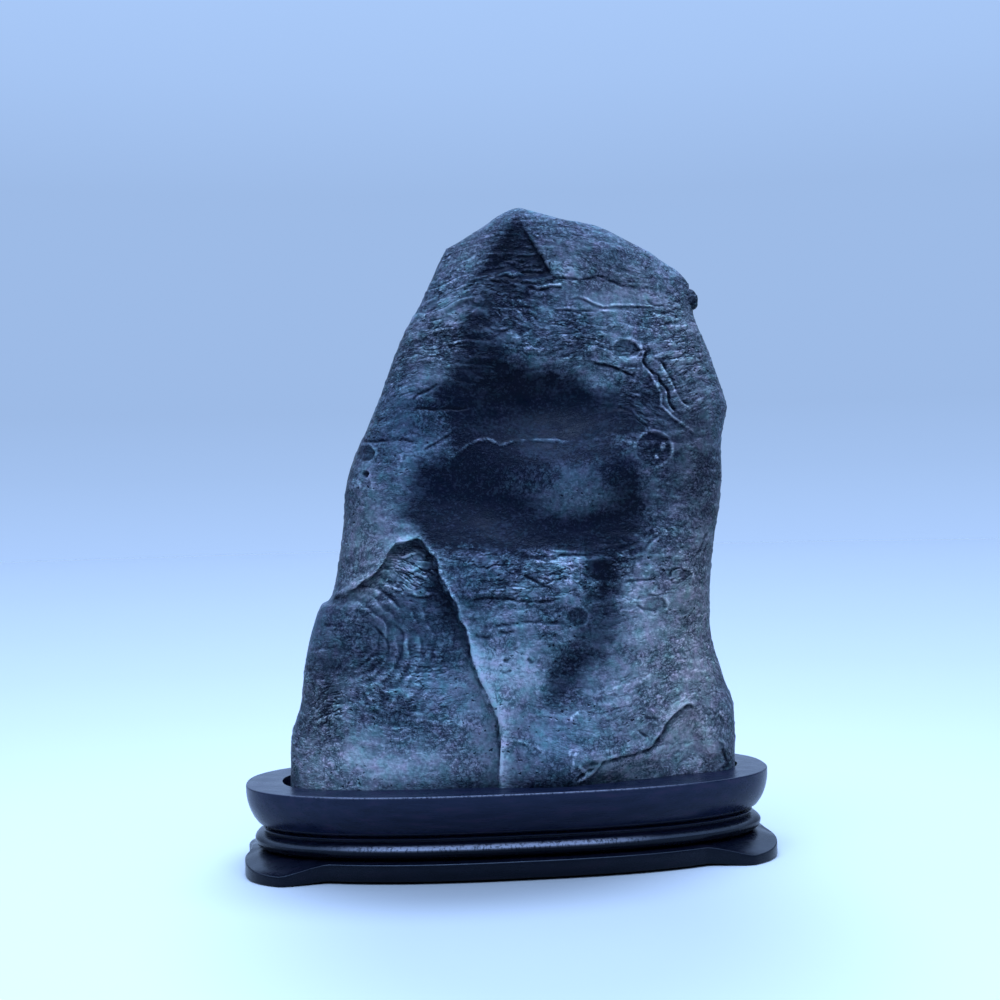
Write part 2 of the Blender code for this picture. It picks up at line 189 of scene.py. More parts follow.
BACK_FORMS = [
    (-20, 60, 26, 30, 3.0, 15),
    (30, 95, 24, 34, 3.5, -10),
    (8, 75, 12, 46, -4.0, -12),
    (-25, 115, 16, 26, -3.0, 25),
    (20, 150, 22, 16, -3.5, 10),
    (48, 55, 14, 20, -3.0, 0),
    (0, 172, 16, 14, 2.5, 0),
    (-45, 42, 14, 14, -2.5, 30),
]
KNOB_AT = np.array([60.4, -1.0, 169.8]) * MM
KNOB_OUT = np.array([0.8, -0.6, 0.0])  # the way it points
KNOB_HALF_WIDTH = 2.1 * MM
KNOB_HALF_HEIGHT = 3.3 * MM
KNOB_HEIGHT = 2.4 * MM

# ---- broken edges of the front: outline in mm, drop inside it and width of the broken face
LOBE_EDGE = [(-90, 60), (-75, 66), (-61, 76), (-53.5, 79.5), (-47, 82.5), (-40.5, 86.5), (-37, 90),
             (-35.5, 93.5), (-33.5, 96), (-30, 96.5), (-26.5, 97.5), (-25, 96), (-23.5, 94),
             (-21, 91), (-20, 86), (-18, 81.5), (-16, 77.5), (-14.5, 74.5), (-14, 71.5), (-12.5, 69),
             (-11, 62.5), (-9.5, 56.5), (-7, 50), (-4, 44), (-2, 39), (-2, 35), (-2.5, 30), (-3, 12),
             (-90, 12)]
LOBE_DROP = 3.6 * MM
LOBE_FOOT_DROP = 1.7 * MM
LOBE_DROP_RISE = (35 * MM, 45 * MM)  # where it changes from the foot's drop, and over how much
LOBE_LEFT_SHARE = 0.45
LOBE_LEFT_REACH = (-48 * MM, 14 * MM)
LOBE_SLOPE = 1.0 * MM
CHIP_EDGE = [(21, 8), (21.5, 26), (25.5, 27.5), (31, 27.5), (37.5, 29.5), (44, 30.5), (46.5, 33.5),
             (50.5, 38.5), (54, 42.5), (58, 44), (60.5, 41), (64, 35.5), (66, 30.5), (68.5, 27.5),
             (67.5, 8)]
CHIP_DROP = 3.6 * MM
CHIP_SLOPE = 7 * MM
CHIP_LIP = 0.9 * MM
CHIP_LIP_SLOPE = 0.8 * MM
CHIP_LIP_END = (63 * MM, -8 * MM)
NICHE_EDGE = [(6.3, 199), (2.5, 193), (-1, 187.5), (-4, 182), (-7, 177.5), (-2, 176.5), (4, 177.5),
              (9, 176), (14, 177), (17.8, 177.2), (15.5, 182.5), (13, 187), (10.3, 190.5), (8, 195)]
NICHE_DROP = 2.6 * MM
NICHE_SLOPE = (7 * MM, 1.3 * MM)  # on its left and on its right
NICHE_MIDDLE = (0, 9 * MM)

# Thin lines on the front: points in pixels of the camera's picture, how dark the groove on the left of the
# run is and how pale the lip on its right. The groove's dark is partly painted shade, and the lip's
# paleness partly a painted highlight, partly pale veins.
STROKES = {
    "shoulder crack": ([(553, 279), (572, 280), (588, 280), (599, 277), (608, 281), (619, 285), (629, 287),
        (642, 287)], 0.8, 0.2),
    "long lip": ([(659, 309), (652, 307), (642, 306), (629, 306), (616, 306), (606, 307), (596, 305),
        (587, 300), (579, 297), (572, 298), (567, 300)], 0.45, 0.8),
    "second lip": ([(610, 312), (601, 312), (591, 310), (578, 310), (565, 309), (555, 309)], 0.4, 0.6),
    "oval": ([(645, 298), (651, 304), (661, 307), (669, 307), (674, 305), (677, 301)], 0.6, 0.3),
    "forked groove": ([(653, 346), (646, 351), (644, 356), (642, 362), (646, 367), (652, 374), (657, 376),
        (660, 383), (665, 389), (668, 397), (669, 404), (674, 411), (682, 417)], 1.7, 0.8),
    "fork": ([(643, 356), (642, 352), (639, 348), (634, 342), (628, 339)], 0.5, 1.3),
    "left of groove": ([(696, 434), (687, 429), (678, 422), (668, 414), (661, 407), (660, 400), (659, 392),
        (653, 381), (648, 371), (646, 365)], 0.3, 1.4),
    "right of groove": ([(655, 359), (661, 363), (664, 369), (669, 378), (675, 388), (678, 395), (683, 403),
        (693, 408)], 0.6, 1.1),
    "by the groove": ([(636, 376), (629, 373), (622, 369), (611, 365), (600, 363), (591, 361)], 1.2, 0.8),
    "small arch": ([(642, 397), (634, 395), (627, 395), (619, 398)], 0.4, 0.6),
    "over the hollow": ([(651, 429), (642, 422), (634, 414), (627, 409), (616, 406), (604, 405),
        (595, 407)], 0.6, 0.45),
    "niche, right": ([(553, 273), (547, 265), (543, 256), (536, 248), (530, 238), (526, 231), (522, 221),
        (519, 212)], 0.2, 0.5),
    "niche floor 1": ([(518, 288), (511, 285), (506, 282), (497, 280), (488, 279)], 1.0, 1.6),
    "niche floor 2": ([(526, 278), (519, 276), (512, 277), (506, 275), (498, 277)], 0.8, 1.5),
    "niche floor 3": ([(552, 289), (547, 287), (538, 289), (528, 287)], 0.9, 1.3),
    "under the niche": ([(537, 283), (529, 283), (520, 282)], 0.9, 1.3),
    "beside the niche": ([(562, 286), (553, 286), (547, 285)], 0.8, 1.5),
    "niche ripple 1": ([(526, 262), (512, 260), (503, 260)], 0.8, 0.7),
    "niche ripple 2": ([(533, 249), (521, 247), (512, 248)], 0.8, 0.7),
    "niche ripple 3": ([(545, 273), (530, 271), (518, 272)], 0.8, 0.7),
    "niche ripple 4": ([(528, 241), (518, 239)], 0.8, 0.6),
    "niche ripple 5": ([(540, 256), (528, 255), (516, 256)], 0.8, 0.6),
    "niche ripple 6": ([(506, 268), (498, 268), (490, 270)], 0.8, 0.6),
    "niche ripple 7": ([(542, 267), (530, 266), (520, 267)], 0.8, 0.6),
    "swept ridge": ([(556, 243), (548, 242), (541, 239), (534, 235), (529, 231), (526, 226)], 0.3, 0.8),
    "gully ledge": ([(510, 328), (498, 330), (489, 328)], 0.5, 0.9),
    "slope 1": ([(461, 287), (469, 285), (478, 282), (487, 280)], 0.4, 0.5),
    "slope 2": ([(474, 251), (482, 249), (488, 245)], 0.4, 0.5),
    "slope 3": ([(428, 313), (435, 310), (441, 306)], 0.6, 0.3),
    "slope 4": ([(413, 324), (419, 320), (426, 318)], 0.4, 0.5),
    "flank": ([(413, 401), (420, 395), (429, 391), (440, 384)], 0.7, 0.3),
    "flank line": ([(412, 411), (423, 410), (433, 411), (443, 410), (460, 410), (475, 408)], 0.8, 0.5),
    "left crack": ([(352, 442), (365, 443), (380, 442), (392, 441), (398, 441), (406, 441), (412, 443),
        (420, 443)], 0.8, 0.15),
    "hollow, left edge": ([(455, 431), (451, 433), (443, 438), (436, 442), (429, 446), (422, 451)], 0.6,
        0.5),
    "vein": ([(575, 444), (560, 442), (540, 441), (520, 442), (508, 444), (500, 446), (490, 441),
        (480, 441), (470, 445), (460, 452), (451, 459), (445, 461)], 0.1, 1.5),
    "vein's end": ([(640, 446), (620, 441), (600, 440), (575, 444)], 0.1, 0.35),
    "faint upright": ([(404, 451), (402, 461), (400, 470)], 0.1, 0.5),
    "lobe, left edge": ([(386, 560), (383, 565), (375, 574), (366, 580), (355, 588), (343, 592),
        (329, 601)], 0.8, 0.5),
    "lobe, right edge": ([(499, 789), (500, 760), (499, 735), (498, 720), (494, 710), (488, 695),
        (481, 682), (475, 667), (471, 654), (469, 642), (465, 627), (459, 620), (458, 606), (450, 595),
        (446, 585), (439, 573), (437, 559), (430, 552), (422, 541), (414, 539), (405, 543), (397, 546),
        (390, 554)], 0.9, 0.6),
    "lobe, pale top 1": ([(401, 591), (392, 589), (383, 586)], 0.6, 0.9),
    "lobe, pale top 2": ([(432, 594), (423, 597), (412, 595)], 0.6, 0.9),
    "lobe, pale top 3": ([(426, 558), (419, 554), (411, 555), (403, 558), (396, 556)], 0.9, 1.2),
    "lobe, pale top 4": ([(438, 577), (430, 571), (420, 569), (410, 573), (399, 570)], 0.9, 0.7),
    "crescent at the foot": ([(544, 756), (539, 750), (532, 746), (521, 743), (510, 743)], 0.3, 0.6),
    "lobe arc 1": ([(357, 589), (371, 588), (383, 593), (392, 600), (401, 610)], 0.6, 0.3),
    "lobe arc 2": ([(357, 676), (368, 673), (378, 666), (388, 655), (389, 644), (383, 633), (371, 623),
        (358, 617)], 0.45, 0.3),
    "lobe arc 3": ([(394, 667), (401, 658), (404, 646), (404, 633), (392, 621)], 0.4, 0.3),
    "lobe arc 4": ([(377, 647), (371, 655), (362, 663), (349, 669)], 0.5, 0.3),
    "lobe line 1": ([(323, 626), (334, 626), (345, 627)], 0.6, 0.2),
    "lobe line 2": ([(403, 710), (415, 712), (427, 712)], 0.6, 0.3),
    "lobe line 3": ([(386, 725), (398, 727), (411, 725)], 0.5, 0.3),
    "shelf": ([(489, 550), (473, 549), (457, 548), (443, 549)], 0.7, 0.7),
    "shelf, right": ([(580, 553), (564, 554), (550, 551), (542, 547)], 0.4, 0.6),
    "under the hollow": ([(513, 563), (524, 562), (532, 561), (550, 561), (564, 557), (577, 557),
        (601, 556)], 0.7, 0.4),
    "diagonal": ([(521, 575), (529, 579), (540, 585), (546, 587)], 1.0, 0.3),
    "crescent": ([(561, 569), (553, 573), (544, 573), (534, 569)], 0.7, 0.5),
    "upper crack": ([(469, 602), (483, 600), (500, 600), (516, 601), (532, 603), (548, 602), (564, 598)],
        0.8, 0.2),
    "lower crack": ([(478, 629), (492, 628), (505, 626), (521, 624), (534, 623), (548, 624), (561, 624),
        (572, 631)], 0.8, 0.2),
    "caret": ([(586, 716), (581, 712), (575, 716), (570, 722)], 0.15, 0.9),
    "chip, edge": ([(697, 712), (690, 704), (683, 707), (675, 713), (668, 721), (663, 730), (656, 741),
        (651, 748), (641, 751), (627, 755), (613, 759), (600, 762), (585, 762)], 0.8, 0.8),
    "chip, right": ([(721, 747), (724, 758), (726, 765), (715, 769)], 0.8, 0.2),
    "crossing vein": ([(603, 762), (600, 766), (593, 773), (585, 779), (576, 784)], 0.6, 3.2),
    "bright vein": ([(590, 777), (582, 771), (577, 767)], 0.5, 3.2),
    "upright vein": ([(571, 773), (572, 765), (574, 756), (577, 750)], 0.2, 1.6),
    "torn edge": ([(600, 764), (594, 768), (586, 771), (580, 775), (575, 781)], 1.0, 0.9),
    "oval at the right 1": ([(661, 608), (665, 602), (660, 596), (650, 594), (640, 596), (635, 602)], 0.45,
        0.25),
    "oval at the right 2": ([(635, 603), (641, 609), (651, 611), (660, 609)], 0.4, 0.2),
    "small oval 1": ([(669, 578), (673, 571), (680, 569), (684, 573)], 0.55, 0.2),
    "small oval 2": ([(684, 573), (681, 579), (674, 581), (669, 578)], 0.5, 0.2),
    "pale knot 1": ([(651, 530), (657, 527), (664, 528), (668, 533)], 0.25, 0.6),
    "pale knot 2": ([(645, 551), (650, 543), (657, 538), (662, 532)], 0.4, 0.5),
    "right flank": ([(693, 560), (700, 551), (704, 541), (708, 531)], 0.5, 0.4),
    "right crack": ([(620, 585), (632, 582), (645, 581), (660, 580), (669, 578)], 0.45, 0.3),
    "upright by the edge": ([(706, 563), (703, 556), (706, 548), (711, 541)], 0.3, 0.5),
    "wisp": ([(580, 750), (572, 752), (570, 758)], 0.1, 0.9),
    "tick 1": ([(644, 718), (652, 720), (659, 721)], 0.7, 0.2),
    "tick 2": ([(638, 731), (647, 738)], 0.6, 0.2),
    "chip, pale 1": ([(726, 747), (717, 738), (707, 730)], 0.2, 0.5),
    "chip, pale 2": ([(725, 721), (719, 713)], 0.3, 0.6),
    "curl 1": ([(502, 661), (508, 662), (512, 659)], 0.8, 0.1),
    "curl 2": ([(500, 671), (505, 674), (512, 671)], 0.8, 0.1),
    "curl 3": ([(515, 694), (519, 690)], 0.8, 0.1),
    "curl 4": ([(489, 661), (492, 658)], 0.6, 0.1),
    "curl 5": ([(508, 651), (513, 651), (518, 649)], 0.5, 0.1),
    "curl 6": ([(527, 659), (532, 664)], 0.6, 0.1),
    "curl 7": ([(474, 636), (486, 639), (492, 636)], 0.6, 0.2),
    "curl 8": ([(497, 633), (506, 634), (515, 632)], 0.6, 0.1),
}
STROKE_WIDTH = 0.4  # mm
STROKE_DEPTH = 0.6
STROKE_DARK = 0.5
STROKE_LIP = 0.3
STROKE_PALE = 0.38
GROOVE_AT = 0.85  # how far the groove and the lip are from the line, in stroke widths
LIP_AT = 0.75
STROKE_ENDS = 8  # a line fades in over 1/8 of its run, a ledge over 1/6
LEDGE_ENDS = 6
LEAST_SHOWN = 0.35  # what is left of a line or a ledge where it is broken up
BREAKS = (0.6, 1.2, 3, 65, 2)  # as patchy() takes them
LEDGE_STEP = 0.8 * MM
LEDGE_LIGHT = (0.4 * MM, 0.6 * MM)  # the pale edge's middle and width
RIM_WIDTH = 0.45  # mm
DISH_SLOPE = 0.6  # mm
# A disc's rim is drawn higher and paler on its upper right, a painted highlight.
RIM_EVEN, RIM_LIT = 0.55, 0.45  # the upper right of a disc's rim shows more

# Ledges on the front: the ground on the left of the run stands higher by the height and sinks back over the
# reach. Points, height and reach in mm, paleness of the edge, a painted highlight along the step's top.
LEDGES = [
    ([(53, 101.5), (47.5, 97.5), (42.5, 94.5), (37.5, 92.5), (34.5, 91.5), (28, 91.5), (17.5, 92.5),
      (-1, 93.5), (-19.5, 94), (-27, 93.5)], 0.5, 10, 0.04),
    ([(32, 90.5), (15, 90)], 0.5, 4, 0.1),
    ([(-23.5, 92), (-28.5, 93), (-32, 92), (-36.5, 92.5)], 0.8, 4, 0.25),
]

# Round marks on the front: centre x, z, half-width, half-height, height of the rim and depth inside it, all
# in mm, then the paleness of the rim and of the inside.
DISCS = [
    (47.5, 123.5, 5.7, 5.4, 0.45, 0.15, 0.35, -0.12),
    (50.5, 124.3, 1.1, 1.7, 0.0, -0.2, 0.0, 0.6),
    (48.5, 121.2, 0.9, 1.0, 0.0, -0.2, 0.0, 0.7),
    (-16.5, 120.5, 0.5, 0.5, 0.0, 0.0, 0.0, 0.9),
    (22.5, 72, 3.3, 3.2, 0.15, 0.15, 0.2, -0.16),
    (47, 75, 4.0, 2.5, 0.3, 0.1, 0.1, -0.05),
    (56.5, 84, 2.1, 2.1, 0.25, 0.2, 0.1, -0.1),
    (40, 155, 4.6, 3.0, 0.3, 0.2, 0.15, -0.05),
    (-41.5, 124, 3.0, 2.6, 0.4, 0.4, 0.15, -0.15),
    (-41.5, 117.5, 1.2, 1.2, 0.1, 1.0, 0.0, -0.35),
    (-45, 114, 1.8, 1.8, 0.2, -0.3, 0.1, 0.0),
    (-45, 114, 3.4, 3.4, 0.25, 0.0, -0.2, 0.0),
    (-45, 114, 5.2, 5.2, 0.25, 0.0, 0.1, 0.0),
]

# The same on the back, where the lines too are in mm.
BACK_STROKES = {
    "long crack": ([(-44, 96), (-30, 99), (-16, 95), (-2, 98), (14, 103), (30, 100), (46, 104), (58, 101)],
        0.9, 0.3),
    "upper crack": ([(-20, 148), (-8, 151), (6, 147), (20, 150), (31, 146)], 0.7, 0.4),
    "pale vein": ([(52, 150), (44, 138), (40, 124), (30, 112), (26, 98), (15, 86), (12, 72), (0, 60)], 0.2,
        0.55),
    "vein's branch": ([(26, 98), (12, 94), (4, 86), (-10, 83)], 0.2, 0.5),
    "lower crack": ([(60, 44), (44, 47), (30, 43), (16, 46), (0, 42)], 0.9, 0.3),
    "low lip": ([(-50, 58), (-38, 62), (-26, 60), (-14, 65)], 0.5, 0.6),
}
BACK_DISCS = [
    (-22, 122, 4.2, 3.2, 0.3, 0.2, 0.12, -0.06),
    (38, 76, 3.0, 2.2, 0.25, 0.2, 0.08, -0.06),
    (-36, 74, 2.2, 2.2, 0.25, 0.3, 0.1, -0.15),
    (20, 162, 3.0, 2.4, 0.3, 0.2, 0.15, -0.05),
]
BACK_RIPPLES = [
    (-10, 150, 26, 14, 0.7, 0),
    (35, 120, 16, 20, 0.5, 0),
    (-30, 90, 14, 10, 0.8, 0),
    (10, 50, 26, 9, 0.7, 0),
    (45, 60, 12, 12, -0.3, 0),
    (-15, 112, 14, 10, -0.3, 0),
]
BACK_SHADE = 0.05  # tone gained for each mm that a broad form stands out

# How strongly the strata show everywhere, and where they show more or less on the front: as FRONT_FORMS.
PLAIN_RIPPLE = 0.35
RIPPLE_RANGE = (0.04, 1.6)
RIPPLES = [
    (5, 162, 24, 18, 0.8, 0),
    (5, 183, 9, 9, 0.7, 0),
    (52, 150, 15, 22, 0.6, 0),
    (57, 140, 6, 10, -0.4, 0),
    (-20, 172, 14, 14, 0.6, 0),
    (-31, 140, 13, 13, 0.05, 0),
    (1, 86, 20, 9, 0.75, 0),
    (38, 88, 14, 9, 0.8, 0),
    (-55, 49, 13, 10, 0.6, 0),
    (22.5, 72, 4, 4, -0.7, 0),
    (45, 62, 18, 22, -0.12, 0),
    (10, 108, 30, 15, -0.5, 0),
    (10, 136, 24, 11, -0.6, 0),
    (0, 52, 9, 18, -0.5, 0),
    (-20, 27, 60, 9, -0.3, 0),
    (-38, 50, 20, 6, 0.5, 15),
    (-28, 86, 8, 7, 0.7, 0),
    (33, 171, 13, 3, -0.9, 0),
    (-43, 102, 8, 14, -0.3, 0),
]

# Painted shade in the hollows of the front: outline and softness of its edge in mm, tone.
HOLLOW_UP = [(-1, 157.5), (-8, 153), (-15, 147.5), (-21, 142), (-18, 138), (-15, 131), (-14, 121),
             (-5, 127.5), (6.5, 125.5), (18.5, 128), (31, 127.5), (43.5, 131), (40, 139),
             (27, 144), (14, 150)]
HOLLOW_LOW = [(-31.5, 103.5), (-28.5, 112.5), (-25.5, 121), (-17, 123), (-5, 126.5), (6.5, 124.5),
              (34, 126.5), (43, 120), (44.5, 107.5), (39.5, 93), (5, 93), (-19.5, 94.5)]
NICHE_SHADE = [(6.8, 199), (1, 191), (-4, 184), (-6, 177), (4, 174), (11, 174), (18.5, 176), (16.5, 182),
               (13.7, 187), (10.3, 193)]
VALLEY = [(26, 90), (27, 80), (26, 73), (22, 67), (16, 60), (13, 54), (12, 45), (17, 45), (23, 53),
          (30, 59), (35, 66), (37, 74), (37, 82), (34, 90)]
SHADOWS = [(VALLEY, 5, -0.26), (HOLLOW_UP, 9, -0.6), (HOLLOW_LOW, 8, -0.55), (NICHE_SHADE, 3, -0.4)]
SHADOW_SPREAD = 0.4  # how much of its soft edge lies outside the outline

# Lighter (+) and darker (-) places on the front, partly stains and partly painted light and shade: centre
# x, z, half-width, half-height in mm, tone, turn.
STAINS_AND_SHADE = {
    "lower hollow, pale floor": (22, 110, 17, 12, 0.3, 15),
    "lower hollow, palest": (27, 105, 10, 5, 0.3, 0),
    "lower hollow, dark foot": (-8, 100, 19, 8, -0.3, 0),
    "lower hollow, darkest": (-3, 101, 10, 7, -0.3, 0),
    "lower hollow, right foot": (30, 99, 18, 7, -0.35, 0),
    "lower hollow, right wall": (53, 114, 13, 10, -0.28, 0),
    "between the hollows": (14, 133, 27, 7, -0.42, 0),
    "under the vein": (15, 127, 22, 7, -0.28, 0),
    "left end of the vein": (-21, 121, 7, 6, -0.2, 0),
    "upper hollow, right end": (50, 128, 13, 7, -0.25, 0),
    "upper hollow, right corner": (47, 139, 9, 7, -0.32, -30),
    "pale skin over the hollow": (29, 146, 6, 3.5, 0.12, -15),
    "pale flakes in the gully": (6, 153, 4, 3, 0.2, 0),
    "summit": (8, 193, 14, 6, -0.25, 0),
    "top of the niche": (5.3, 193.5, 2.2, 5, -0.5, 0),
    "left of the niche": (0, 188, 4, 8, -0.15, -25),
    "foot of the niche": (10, 173, 12, 4, -0.25, 0),
    "gully, top": (-6, 168, 5, 12, -0.3, -15),
    "gully, bottom": (-5, 155, 6, 10, -0.3, -10),
    "gully, right": (3, 170, 7, 7, -0.22, 0),
    "gully, low right": (-6, 157, 5, 8, -0.25, 0),
    "pale rib left of the gully": (-17, 160, 5, 6, 0.16, 0),
    "left top slope": (-18, 178, 10, 9, 0.28, 0),
    "right top slope": (28, 182, 20, 8, -0.13, -15),
    "flaked belt": (15, 163, 16, 7, -0.12, 0),
    "streak down the belt": (25, 157, 4, 10, -0.15, 0),
    "left flank": (-26, 136, 14, 9, -0.22, 20),
    "left column": (-34, 118, 9, 13, -0.14, 0),
    "left edge": (-46, 125, 5, 8, -0.15, 0),
    "right edge": (64, 120, 5, 26, -0.13, 0),
    "shelf": (-4, 90, 17, 8, -0.2, 0),
    "lip over the lobe": (-34, 90, 9, 7, 0.1, 0),
    "pale nose beside the lobe": (-40, 84, 8, 4, 0.13, 0),
    "head of the valley": (30, 89, 5, 8, -0.5, 0),
    "right of the head": (40, 92, 8, 4, -0.25, 0),
    "pale shoulder by the valley": (38, 80, 8, 5, 0.12, 0),
    "left of the valley": (-5, 81, 9, 5, -0.14, 0),
    "pale wedge": (1, 55, 10, 16, 0.18, -10),
    "right of the valley": (34, 58, 8, 9, -0.13, 0),
    "mouth of the valley": (20, 38, 9, 8, -0.13, 0),
    "lobe": (-46, 68, 18, 13, -0.26, 0),
    "lobe, right wall": (-22, 74, 12, 12, -0.27, 0),
    "lobe, left edge": (-52, 58, 6, 9, -0.12, 0),
    "lobe, pale foot": (-40, 26, 30, 10, 0.18, 0),
    "right flank": (50, 55, 16, 20, 0.14, 0),
    "ground before the valley": (10, 24, 12, 6, -0.14, 0),
    "left of the chip": (36, 24.5, 10, 4, 0.15, 0),
    "right foot": (68, 24, 4, 5, -0.25, 0),
    "where the stand shades it": (5, 18.5, 55, 4, -0.42, 0),
}

# Brown (+) and blue-green (-) places on the front, as STAINS_AND_SHADE.
TINTS = [
    (64, 110, 12, 70, 1.0, 0),
    (55, 55, 20, 28, 0.8, 0),
    (-46, 95, 12, 26, 0.7, 15),
    (-60, 40, 12, 26, 0.6, 0),
    (-28, 178, 14, 10, 0.7, 25),
    (40, 175, 20, 8, 0.6, -15),
    (-27, 130, 14, 22, -0.8, 20),
    (-28, 60, 18, 30, -0.8, 0),
    (0, 80, 20, 22, -0.5, 0),
    (10, 158, 16, 14, -0.4, 0),
    (25, 115, 16, 20, -0.4, 0),
    (15, 30, 12, 14, -0.6, 0),
    (20, 70, 14, 20, -0.4, -30),
]

# How the bedding tilts on the front: centre x, z, half-width, half-height in mm, rise to the right, turn.
BED_TILTS = [
    (33, 184, 22, 10, -0.35, 0),
    (-20, 176, 18, 16, 0.5, 0),
    (-36, 145, 14, 16, 0.65, 0),
    (34, 150, 11, 9, -0.45, 0),
    (45, 134, 10, 9, -0.6, 0),
    (60, 150, 9, 15, 0.2, 0),
    (45, 45, 28, 22, 0.5, 0),
    (-57, 47, 12, 12, 0.5, 0),
    (-42, 88, 10, 8, 0.7, 0),
]

# ---- rings on the broken lobe
LOBE_RINGS_AT = (-49, 66)  # mm
LOBE_RINGS_PITCH = 3.3  # mm
LOBE_RINGS_WAVER = 1.2  # mm
LOBE_RINGS_HEIGHT = 0.38 * MM
LOBE_RINGS_PALE = 0.36
RING_EVEN = 0.4  # the height of a ring that is neither pale nor dark
RINGS_ABOVE = (42 * MM, 10 * MM)  # where they start to show, and over how much they do
RINGS_RIGHT_OF = (-50 * MM, 10 * MM)
RINGS_FROM = (5, 4)  # distance from their middle, in mm
RINGS_TO = (36, -12)
RINGS_PATCHES = (0.55, 1, 9, 75, 2)  # as patchy() takes them

# ---- tones along the broken edges: a painted shadow under the chip's upper edge, a pale lip on the lobe's edge that is wear and a painted highlight, and a painted shadow under the lobe's overhang; the pairs are where a change starts and how long it takes
CHIP_TONE = 0.2
CHIP_TONE_SLOPE = 2 * MM
CHIP_EDGE_SHADOW = 0.2
CHIP_EDGE_WIDTH = (MM, 1.2 * MM)
CHIP_EDGE_ABOVE = (30 * MM, 4 * MM)
CHIP_EDGE_LEFT_OF = (61 * MM, -6 * MM)
LOBE_LIP_TONE = 0.24
LOBE_LIP_WIDTHS = (0.45 * MM, 0.9 * MM)  # low down and high up
LOBE_LIP_WIDENS = (32 * MM, 20 * MM)
LOBE_LIP_RIGHT_OF = (-36 * MM, 4 * MM)
LOBE_SHADE = 0.15
LOBE_SHADE_WIDTHS = (0.7 * MM, 1.8 * MM)
LOBE_SHADE_WIDENS = (58 * MM, 16 * MM)
LOBE_SHADE_RIGHT_OF = (-34 * MM, 10 * MM)
LOBE_SHADE_ABOVE = (40 * MM, 30 * MM)
LOBE_SHADE_AT = 0.8  # its middle, in its own widths from the edge

# ---- the relief that the whole rock has: heights and sizes in mm
BED_WAVER = 3 * MM
BED_WAVER_SIZE = 48
LUMPS_HEIGHT, LUMPS_SIZE = 0.5, 24
SMALL_LUMPS_HEIGHT, SMALL_LUMPS_SIZE = 0.15, 9
STRATA_HEIGHT, STRATA_PITCH = 0.75, 3.8
STRATA_WAVER, STRATA_WAVER_SIZE = 2.2, (17, 17, 8)
STRATA_PATCHES = (0.4, 1.5, (9, 9, 3.5), 14, 2)  # as patchy() takes them
SCALLOPS_HEIGHT, SCALLOPS_SIZE = 0.35, (10, 10, 4.5)
SCALLOPS_LAYERS = 1.7
SCALLOPS_PATCHES = (0.4, 1.4, 11, 18)
SHELF_STEP = (0.8, 0.2)  # share of a shelf's depth where it steps back, and over how much
SEAT_CALM = 0.15  # how much of the relief is left in the seat
SEAT_CALM_REACH = (24 * MM, 8 * MM)
# Wear and painted highlights on what stands out, painted shade in what lies under: tone, cells each way
# that count as its ground, height that brings most of it.
FINE_WEAR_AND_LIGHT = (0.10, 2 * GRID_SCALE, 0.12 * MM)
BROAD_WEAR_AND_LIGHT = (0.06, 5 * GRID_SCALE, 0.3 * MM)
CLOUD_TONE, CLOUD_SIZE = 0.1, 30
CLOUD_WARMTH, CLOUD_WARMTH_SIZE = 0.8, 26
TINTED = 0.7  # how much of the clouds' warmth the front's own tints replace
MOST_WARMTH = 1.2


# -------- scene helpers


def add_object(name, mesh_data):
    """A named object in the scene."""
    thing = bpy.data.objects.new(name, mesh_data)
    bpy.context.scene.collection.objects.link(thing)
    return thing


def object_from(bm, name):
    """An object with the mesh that was built in a bmesh, which is freed."""
    made = bpy.data.meshes.new(name)
    bm.to_mesh(made)
    bm.free()
    return add_object(name, made)


def settle(thing):
    """Apply an object's modifiers to its mesh."""
    graph = bpy.context.evaluated_depsgraph_get()
    made = bpy.data.meshes.new_from_object(thing.evaluated_get(graph))
    thing.modifiers.clear()
    thing.data = made


def dress(thing, material):
    """Give an object its only material, and smooth shading."""
    thing.data.shade_smooth()
    thing.data.materials.clear()
    thing.data.materials.append(material)


def coordinates(mesh_data):
    """A mesh's vertices as an array."""
    flat = np.empty(len(mesh_data.vertices) * 3)
    mesh_data.vertices.foreach_get("co", flat)
    return flat.reshape(-1, 3)


def set_attribute(mesh_data, name, values):
    """One number at every vertex, for the material to read."""
    made = mesh_data.attributes.new(name, "FLOAT", "POINT")
    made.data.foreach_set("value", np.asarray(values, np.float32).ravel())


# -------- curves, falloffs and noise


def fade(value):
    """0 below 0, 1 above 1, and a smooth S between."""
    t = np.clip(value, 0, 1)
    return t * t * (3 - 2 * t)


def rise(value, start, reach):
    """0 up to the start, then a smooth rise to 1 over the reach; a negative reach leads the other way."""
    return fade((value - start) / reach)


def bell(value):
    """1 at 0, falling smoothly to 0 on both sides."""
    return np.exp(-(value**2))


def mix(first, second, share):
    """A value that changes from the first to the second."""
    return first + (second - first) * share


def smooth_line(points, count):
    """Evenly spaced points on a smooth curve through the given ones (Catmull-Rom), in metres."""
    knots = np.array([points[0], *points, points[-1]], float) * MM
    t = np.linspace(0, 1, SPAN_STEPS, endpoint=False)[:, None]
    runs = []
    for a, b, c, d in zip(knots, knots[1:], knots[2:], knots[3:]):
        runs.append(b + 0.5 * t * (c - a + t * (2 * a - 5 * b + 4 * c - d + t * (3 * (b - c) + d - a))))
    curve = np.vstack(runs + [knots[-1:]])
    length = np.concatenate([[0], np.cumsum(np.hypot(*np.diff(curve, axis=0).T))])
    at = np.linspace(0, length[-1], count)
    return np.stack([np.interp(at, length, curve[:, 0]), np.interp(at, length, curve[:, 1])], 1)


